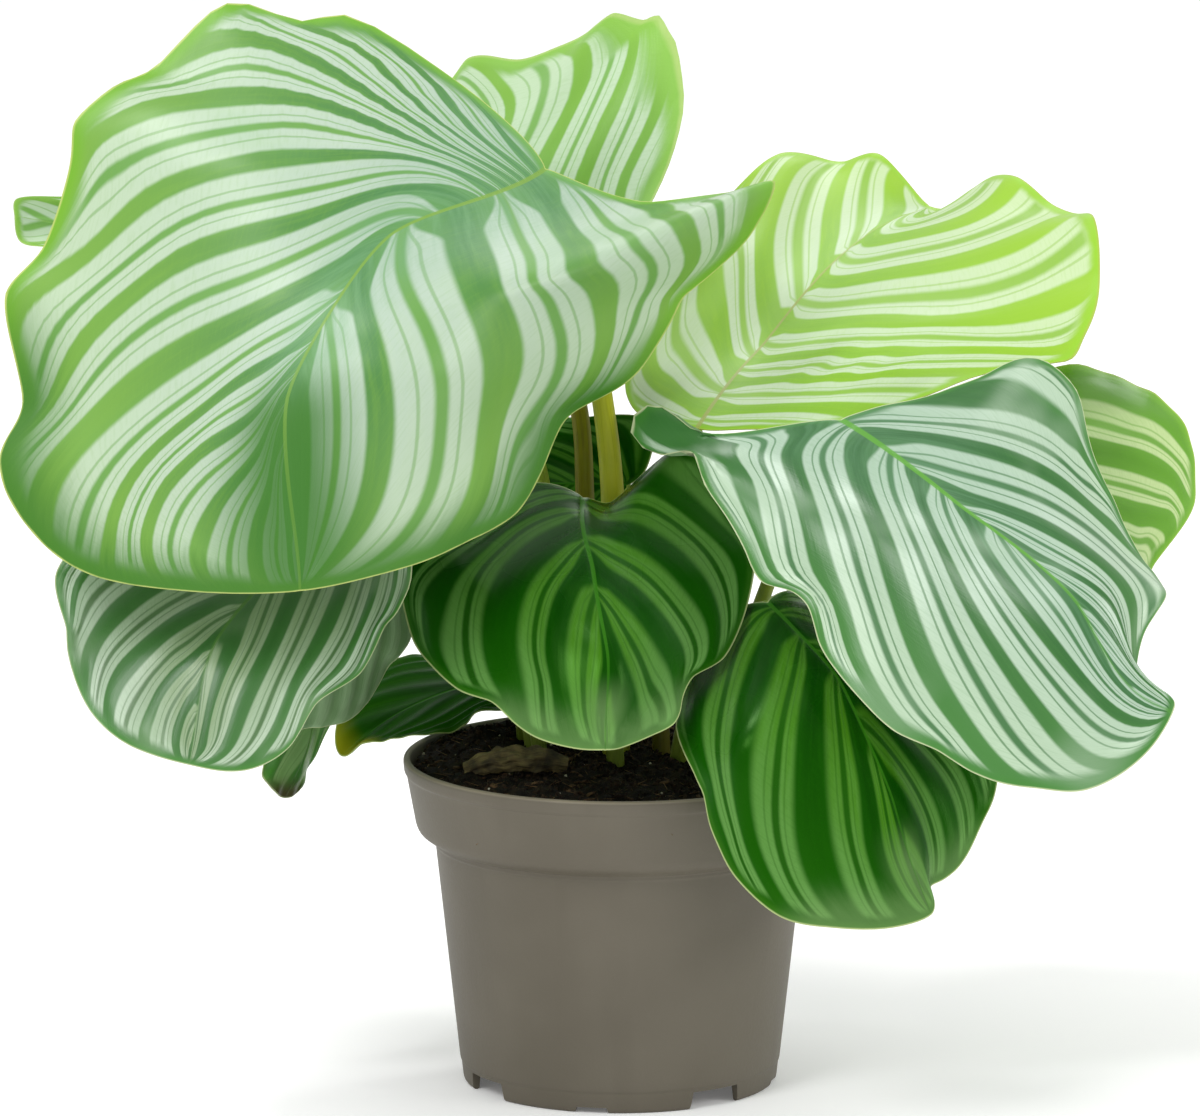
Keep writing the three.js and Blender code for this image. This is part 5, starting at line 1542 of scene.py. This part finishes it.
looks = {
    "leaf_fresh": dict(
        freshLook, ribSheen=0.5, ribSheenColour=(98, 146, 110), border=3.4,
        # its tip zone is painted shade: darker green where the leaf curves down, away from the light
        tipWitherShadeSheenShare=0.9, tipStart=0.6, tipReach=24.0, tipWitherShadeSheenColour=(48, 106, 20),
        green=(64, 118, 60), greenSide=(98, 150, 68), greenOut=(110, 156, 58),
        pale=(168, 186, 170), paleOut=(172, 192, 162), stripeColour=(92, 144, 60),
        specular=0.45, glint=(235, 245, 225),
        margin=(104, 162, 24), rim=(182, 192, 110), ribColour=(112, 150, 54), cloudAndSheenColour=(120, 172, 112),
    ),
    "leaf_young": dict(
        freshLook, share=0.28, border=2.2,
        green=(102, 158, 56), greenSide=(122, 174, 74), greenOut=(120, 172, 54),
        pale=(182, 206, 176), paleOut=(184, 208, 172), stripeColour=(112, 166, 72),
        margin=(132, 186, 66), rim=(168, 196, 110), ribColour=(142, 184, 80), cloudAndSheenColour=(150, 196, 120),
    ),
    "leaf_lime": dict(
        limeLook, share=0.34, uneven=0.06, stripe=0.16, rough=0.3,
        green=(120, 170, 34), greenSide=(136, 182, 50), greenOut=(142, 188, 24),
        pale=(184, 204, 170), paleOut=(188, 210, 160), stripeColour=(130, 176, 52),
        margin=(140, 194, 30), rim=(160, 176, 66), ribColour=(150, 160, 80), cloudAndSheenColour=(170, 206, 130),
    ),
    "leaf_glossy": dict(
        limeLook, share=0.46, rough=0.16, roughSpread=0.1,
        green=(78, 134, 18), greenSide=(100, 156, 40), greenOut=(90, 148, 22),
        pale=(174, 198, 138), paleOut=(182, 204, 140), stripeColour=(96, 150, 42),
        margin=(112, 168, 36), rim=(160, 186, 80), ribColour=(120, 170, 60), cloudAndSheenColour=(140, 186, 90),
    ),
    "leaf_silver": dict(
        # its broad pale clouds are a painted sheen, a whitish satin highlight over much of the leaf
        silverLook, ribReach=0.08, ribSheen=0.25, ribSheenColour=(110, 150, 124), cloudAndSheen=0.4, hair=0.7,
        rough=0.22, roughSpread=0.2,
        green=(32, 90, 32), greenSide=(70, 122, 62), greenOut=(60, 118, 46),
        pale=(162, 184, 164), paleOut=(168, 192, 162), stripeColour=(46, 102, 46),
        margin=(56, 120, 36), rim=(196, 204, 160), ribColour=(84, 150, 40), cloudAndSheenColour=(166, 188, 162),
    ),
    "leaf_grey": dict(
        silverLook, share=0.36, cloudAndSheen=0.35, rough=0.26,
        green=(52, 100, 44), greenSide=(78, 118, 68), greenOut=(58, 112, 46),
        pale=(130, 154, 112), paleOut=(166, 188, 160), stripeColour=(72, 108, 60),
        margin=(62, 124, 40), rim=(184, 194, 148), ribColour=(80, 126, 50), cloudAndSheenColour=(140, 166, 128),
    ),
    "leaf_withered": dict(
        silverLook, share=0.5, border=2.0, stripeDepth=0.3, rough=0.26,
        green=(52, 112, 40), greenSide=(78, 126, 60), greenOut=(66, 130, 40),
        pale=(118, 158, 96), paleOut=(132, 172, 104), stripeColour=(90, 134, 70),
        margin=(84, 140, 40), rim=(184, 194, 148), ribColour=(80, 126, 50), cloudAndSheenColour=(104, 150, 80),
        tipWitherShadeSheenShare=0.9, tipStart=0.84, tipReach=60.0, tipWitherShadeSheenColour=(64, 50, 26),
    ),
    # deep greens, partly the leaves' own colour and partly painted shade from the leaves above them
    "leaf_dark": dict(
        darkLook, share=0.44, border=2.2, soft=0.13, hair=0.3, sway=0.1,
        green=(3, 54, 0), greenSide=(16, 74, 2), greenOut=(18, 76, 2),
        pale=(56, 108, 16), paleOut=(88, 134, 66), stripeColour=(20, 72, 4),
        margin=(46, 98, 18), rim=(176, 188, 130), ribColour=(48, 108, 20), cloudAndSheenColour=(52, 104, 20),
        # its tip zone is a painted highlight, paler towards the tip
        tipWitherShadeSheenShare=0.45, tipStart=0.74, tipReach=22.0, tipWitherShadeSheenColour=(112, 144, 90),
        rough=0.2, roughSpread=0.14, specular=0.3, glint=(130, 200, 90),
    ),
    "leaf_shaded": dict(
        darkLook, share=0.5, border=4.0, stripeDepth=0.4, soft=0.16,
        green=(12, 56, 1), greenSide=(20, 70, 2), greenOut=(22, 74, 2),
        pale=(26, 76, 4), paleOut=(32, 80, 8), stripeColour=(18, 64, 2),
        margin=(40, 84, 10), rim=(160, 176, 110), ribColour=(52, 108, 26), cloudAndSheenColour=(36, 90, 8),
        tipWitherShadeSheenShare=0.85, tipStart=0.87, tipReach=60.0, tipWitherShadeSheenColour=(136, 136, 20),
        rough=0.3, specular=0.1, glint=(110, 190, 70), underPale=(92, 130, 78),
    ),
}

stalkLooks = {
    "stalk_green": dict(
        # its darker foot is partly the stalk's own colour and partly painted shade where the feet stand in
        # the plant's shadow
        slot="stalk_green", foot=(112, 124, 46), body=(136, 154, 46), top=(140, 168, 70),
        blotch=(104, 124, 34), line=(94, 110, 28),
    ),
    "stalk_fresh": dict(
        slot="stalk_green", foot=(150, 154, 50), body=(164, 168, 28), top=(156, 166, 36),
        blotch=(146, 156, 26), line=(128, 138, 16),
    ),
    "stalk_olive": dict(
        slot="stalk_olive", foot=(96, 90, 32), body=(118, 116, 12), top=(130, 122, 30),
        blotch=(98, 102, 8), line=(90, 82, 8),
    ),
}


def coloursReady(look):  # the look with its colours ready for a material
    return {key: shade(*value) if isinstance(value, tuple) else value for key, value in look.items()}


# Places in the photo along the middle of a band, for each side of a leaf: whole numbers are dark
# bands, halves the thin stripes between them.
bands = {
    "front_left": {
        1: [
            (0, [(459, 129), (441, 103), (412, 65), (388, 44), (365, 26)]),
            (1, [(459, 147), (424, 103), (382, 62), (353, 44), (323, 31)]),
            (2, [(459, 153), (400, 112), (353, 79), (294, 51), (241, 43), (206, 47), (165, 62)]),
            (2.5, [(418, 126), (353, 100), (309, 84), (265, 73), (206, 73), (141, 91)]),
            (3, [
                (459, 162), (397, 129), (323, 101), (265, 93), (206, 97), (141, 110), (106, 135),
                (76, 188),
            ]),
            (3.5, [(426, 153), (338, 135), (259, 128), (188, 141), (118, 185), (53, 244)]),
            (4, [
                (459, 160), (382, 159), (323, 157), (253, 159), (188, 182), (118, 224), (65, 262),
                (32, 297),
            ]),
            (4.5, [(412, 178), (353, 187), (250, 204), (188, 224), (129, 262), (65, 326)]),
            (5, [(441, 182), (353, 200), (253, 232), (182, 250), (124, 306), (59, 385), (26, 435)]),
            (5.5, [(412, 206), (353, 235), (235, 285), (159, 318), (88, 379), (32, 453)]),
            (6, [(368, 250), (276, 303), (194, 344), (126, 391), (76, 438), (53, 476)]),
            (7, [(318, 335), (253, 372), (200, 415), (153, 456), (126, 503), (118, 544)]),
            (8, [(270, 400), (206, 441), (165, 479), (142, 535), (145, 560)]),
            (9, [(263, 458), (245, 478), (231, 497), (215, 518), (205, 537), (199, 560)]),
            (9.5, [(257, 477), (245, 492), (235, 513), (230, 538), (230, 565)]),
            (10, [(268, 472), (262, 492), (258, 513), (257, 538), (257, 563)]),
            (10.5, [(277, 462), (279, 497), (279, 530), (279, 563)]),
            (11, [(286, 450), (288, 480), (290, 520), (293, 560)]),
        ],
        -1: [
            (0, [(748, 205), (743, 230), (730, 260)]),
            (0.5, [(703, 202), (717, 214), (721, 235), (717, 258)]),
            (1, [(595, 186), (639, 192), (670, 210), (686, 240), (688, 270), (665, 320), (621, 365)]),
            (1.5, [(583, 195), (630, 239), (651, 292), (639, 336), (624, 359)]),
            (2, [(530, 186), (565, 230), (592, 280), (604, 330), (583, 392), (548, 439), (512, 498)]),
            (2.5, [(504, 204), (533, 262), (554, 321), (556, 380), (539, 436), (506, 498)]),
            (3, [(459, 204), (486, 277), (498, 336), (498, 395), (483, 483), (442, 554)]),
            (3.5, [(398, 268), (427, 321), (443, 404), (433, 474), (389, 551)]),
            (4, [(357, 300), (376, 380), (376, 460), (356, 530), (318, 575)]),
            (4.5, [(334, 350), (339, 404), (338, 454), (328, 513), (312, 560)]),
            (5, [(302, 395), (300, 440), (300, 480), (299, 530), (301, 570)]),
        ],
    },
    "top_back": {
        1: [
            (1, [(662, 35), (661, 77), (652, 110), (636, 145), (618, 180)]),
            (2, [(637, 35), (635, 60), (627, 90), (615, 117), (595, 160), (580, 182)]),
            (2.5, [(602, 32), (607, 55), (602, 85), (590, 115), (575, 145), (560, 172)]),
            (3, [(582, 47), (582, 72), (575, 105), (560, 135), (547, 160)]),
            (3.5, [(535, 62), (542, 77), (542, 97), (537, 117), (527, 142)]),
            (4, [(475, 70), (500, 80), (508, 100), (508, 120)]),
            (4.5, [(452, 82), (475, 82), (488, 97), (492, 115)]),
        ],
    },
    "upper_right": {
        1: [
            (1, [(730, 388), (743, 380), (770, 375), (804, 371), (850, 369), (900, 368)]),
            (2, [(754, 360), (800, 362), (845, 363), (895, 360), (948, 355), (995, 349)]),
            (3, [(790, 325), (840, 325), (900, 327), (950, 323), (1000, 315), (1050, 303), (1090, 288)]),
            (3.5, [
                (820, 307), (851, 304), (901, 300), (948, 295), (1000, 284), (1032, 274), (1078, 240),
            ]),
            (4, [(840, 282), (870, 277), (901, 272), (948, 264), (1000, 250), (1026, 239), (1075, 212)]),
            (5, [(870, 243), (900, 238), (925, 233), (950, 227), (968, 221), (985, 211), (1010, 186)]),
        ],
        -1: [
            (1, [(650, 371), (672, 388), (695, 405)]),
            (1.5, [(676, 338), (686, 356), (695, 371)]),
            (2, [(707, 287), (714, 309), (720, 327), (725, 348)]),
            (3, [(776, 190), (765, 225), (758, 255), (761, 287), (768, 315)]),
            (3.5, [(822, 172), (808, 195), (800, 225), (798, 255), (801, 280)]),
            (4, [(850, 165), (838, 190), (832, 215), (830, 240), (826, 262)]),
            (5, [(893, 190), (893, 210), (888, 228)]),
        ],
    },
    "front_right": {
        1: [
            (1, [
                (645, 425), (665, 415), (690, 428), (741, 445), (746, 480), (752, 508), (758, 535),
                (768, 560),
            ]),
            (2, [(790, 433), (795, 467), (803, 500), (812, 530), (823, 560), (835, 595), (855, 655)]),
            (2.5, [(827, 445), (832, 480), (843, 517), (853, 550), (868, 600), (890, 655), (920, 712)]),
            (3, [(853, 445), (860, 483), (872, 517), (893, 583), (912, 633), (937, 683), (973, 743)]),
            (3.5, [(893, 477), (903, 510), (917, 547), (940, 602), (962, 653), (977, 680), (997, 712)]),
            (4, [(917, 483), (943, 550), (967, 600), (997, 650), (1018, 683), (1047, 717), (1097, 763)]),
            (5, [
                (985, 553), (1003, 577), (1040, 630), (1058, 652), (1083, 680), (1107, 702), (1135, 722),
            ]),
        ],
        -1: [
            (1, [
                (905, 397), (950, 390), (1000, 396), (1040, 415), (1065, 440), (1085, 465), (1100, 485),
            ]),
            (1.5, [
                (877, 422), (940, 425), (990, 432), (1023, 442), (1057, 457), (1090, 480), (1107, 500),
            ]),
            (2, [(880, 432), (920, 437), (957, 443), (1000, 453), (1040, 473), (1073, 493), (1123, 540)]),
            (2.5, [
                (905, 460), (950, 472), (1000, 485), (1050, 502), (1085, 523), (1110, 545), (1145, 590),
            ]),
            (3, [
                (940, 490), (970, 500), (1000, 510), (1040, 525), (1075, 545), (1105, 570), (1133, 620),
            ]),
            (4, [
                (985, 530), (1010, 545), (1040, 560), (1070, 575), (1095, 592), (1115, 612), (1130, 655),
            ]),
            (5, [(1050, 583), (1075, 597), (1095, 612), (1112, 632), (1123, 655)]),
        ],
    },
    "front_centre": {
        1: [
            (1, [(555, 507), (520, 520), (480, 553), (445, 585), (428, 612), (432, 650)]),
            (1.5, [(540, 520), (517, 530), (483, 566), (469, 599), (465, 632), (469, 660), (476, 682)]),
            (2, [(572, 533), (556, 541), (525, 566), (503, 599), (496, 627), (497, 654), (511, 690)]),
            (2.5, [(567, 566), (550, 585), (539, 613), (535, 638), (536, 660), (544, 682)]),
            (3, [(583, 563), (567, 593), (558, 616), (553, 638), (551, 660), (558, 690)]),
            (3.5, [(594, 599), (591, 616), (588, 640), (582, 665), (585, 700)]),
        ],
        -1: [
            (0, [(617, 490), (645, 488), (672, 499)]),
            (0.5, [(650, 510), (678, 524), (700, 543), (717, 571)]),
            (1, [(600, 527), (633, 538), (664, 554), (689, 577), (705, 599), (714, 627)]),
            (1.5, [(610, 556), (639, 571), (664, 593), (680, 616), (692, 638), (696, 660)]),
            (2, [(605, 577), (630, 593), (650, 616), (667, 638), (678, 660)]),
            (2.5, [(605, 604), (622, 627), (639, 655), (650, 690)]),
            (3, [(601, 616), (606, 638), (614, 665), (625, 700)]),
        ],
    },
    "low_right": {
        1: [
            (0, [(722, 640), (700, 680), (694, 720), (700, 760)]),
            (0.5, [(735, 650), (726, 690), (720, 721), (716, 756), (724, 800), (732, 825)]),
            (1, [(779, 627), (761, 668), (746, 709), (739, 745), (739, 780), (742, 815)]),
            (1.5, [
                (799, 665), (791, 692), (783, 721), (777, 756), (775, 786), (775, 815), (779, 845),
                (788, 874),
            ]),
            (2, [(814, 662), (811, 698), (808, 727), (807, 756), (808, 786), (810, 815), (811, 845)]),
            (2.5, [(838, 705), (842, 727), (843, 756), (844, 786), (846, 815), (852, 845), (861, 874)]),
            (3, [(851, 715), (858, 745), (867, 774), (873, 809), (873, 845), (882, 874), (894, 898)]),
            (3.5, [(879, 765), (882, 786), (885, 815), (891, 845), (902, 874), (914, 895)]),
            (4, [(892, 785), (897, 805), (906, 830), (914, 851)]),
        ],
    },
    "low_left": {
        1: [
            (1.5, [(120, 575), (93, 600), (82, 614), (79, 633)]),
            (2, [(154, 583), (132, 603), (104, 628), (90, 653), (87, 675), (87, 694)]),
            (2.5, [(176, 601), (150, 617), (122, 643), (105, 665), (98, 690)]),
            (3, [(228, 603), (196, 611), (165, 631), (137, 656), (121, 672), (111, 694), (107, 714)]),
            (3.5, [(218, 617), (190, 645), (160, 668), (142, 690), (130, 712)]),
            (4, [(221, 636), (196, 661), (173, 675), (159, 692), (154, 711)]),
            (5, [(200, 685), (188, 700), (181, 720), (176, 745)]),
        ],
        -1: [
            (1, [(377, 583), (362, 625), (346, 661)]),
            (1.5, [(362, 586), (354, 611), (340, 642), (323, 669), (307, 689)]),
            (2, [(343, 589), (329, 622), (312, 656), (296, 683), (282, 717), (265, 744)]),
            (2.5, [(314, 600), (301, 633), (284, 669), (268, 706), (254, 739)]),
            (3, [(287, 606), (273, 642), (257, 675), (240, 706), (229, 733)]),
            (3.5, [(262, 617), (246, 656), (232, 683), (221, 711), (214, 744)]),
            (4, [(236, 650), (218, 683), (209, 706), (205, 728), (204, 750)]),
        ],
    },
    "far_right": {
        -1: [
            (1, [(1070, 382), (1105, 386), (1135, 392), (1160, 407), (1175, 430)]),
            (1.5, [(1092, 425), (1125, 430), (1155, 442), (1180, 465)]),
            (2, [(1087, 450), (1125, 455), (1145, 465), (1170, 478), (1182, 495)]),
            (2.5, [(1110, 482), (1135, 488), (1160, 500)]),
            (3, [(1115, 512), (1140, 518), (1170, 520)]),
            (3.5, [(1125, 532), (1148, 537)]),
        ],
    },
}

wear = {  # the look of each leaf's blade and of its stalk
    "front_left": ("leaf_fresh", "stalk_fresh"),
    "top_back": ("leaf_young", "stalk_olive"),
    "far_left": ("leaf_young", "stalk_green"),
    "upper_right": ("leaf_lime", "stalk_olive"),
    "front_right": ("leaf_silver", "stalk_green"),
    "front_centre": ("leaf_dark", "stalk_green"),
    "low_right": ("leaf_dark", "stalk_green"),
    "low_left": ("leaf_grey", "stalk_green"),
    "low_left_inner": ("leaf_grey", "stalk_green"),
    "small_drooping": ("leaf_withered", "stalk_green"),
    "low_side": ("leaf_shaded", "stalk_green"),
    "far_right": ("leaf_glossy", "stalk_green"),
    "inner_back": ("leaf_dark", "stalk_green"),
    "back_right": ("leaf_silver", "stalk_green"),
    "back_left": ("leaf_dark", "stalk_green"),
    "back_low": ("leaf_dark", "stalk_green"),
}


def makeLeaves():
    stalkFinishes = {name: stalkFinish(name, coloursReady(look)) for name, look in stalkLooks.items()}
    leafFinishes = {}
    for name, look in looks.items():
        look = coloursReady(look)
        leafFinishes[name] = (leafFinish(name, look), undersideFinish(name + " underside", look))
    for place, leaf in leaves.items():
        leaf["bands"] = bands.get(place, {})
        leafWear, stalkWear = wear[place]
        piece, surface = leafPiece(place, leaf, leafFinishes[leafWear])
        dressed(piece, f"blade_{place}")
        stalk = stalkPiece(place, leaf, surface, stalkFinishes[stalkWear])
        dressed(stalk, f"petiole_{place}")
        print("leaf made:", place)


setCamera()
makeStudio()
print("camera, floor and light made")
makeLeaves()
makePot()
print("pot made")
makeSoilPieces()
makeSheath()
print("soil made")
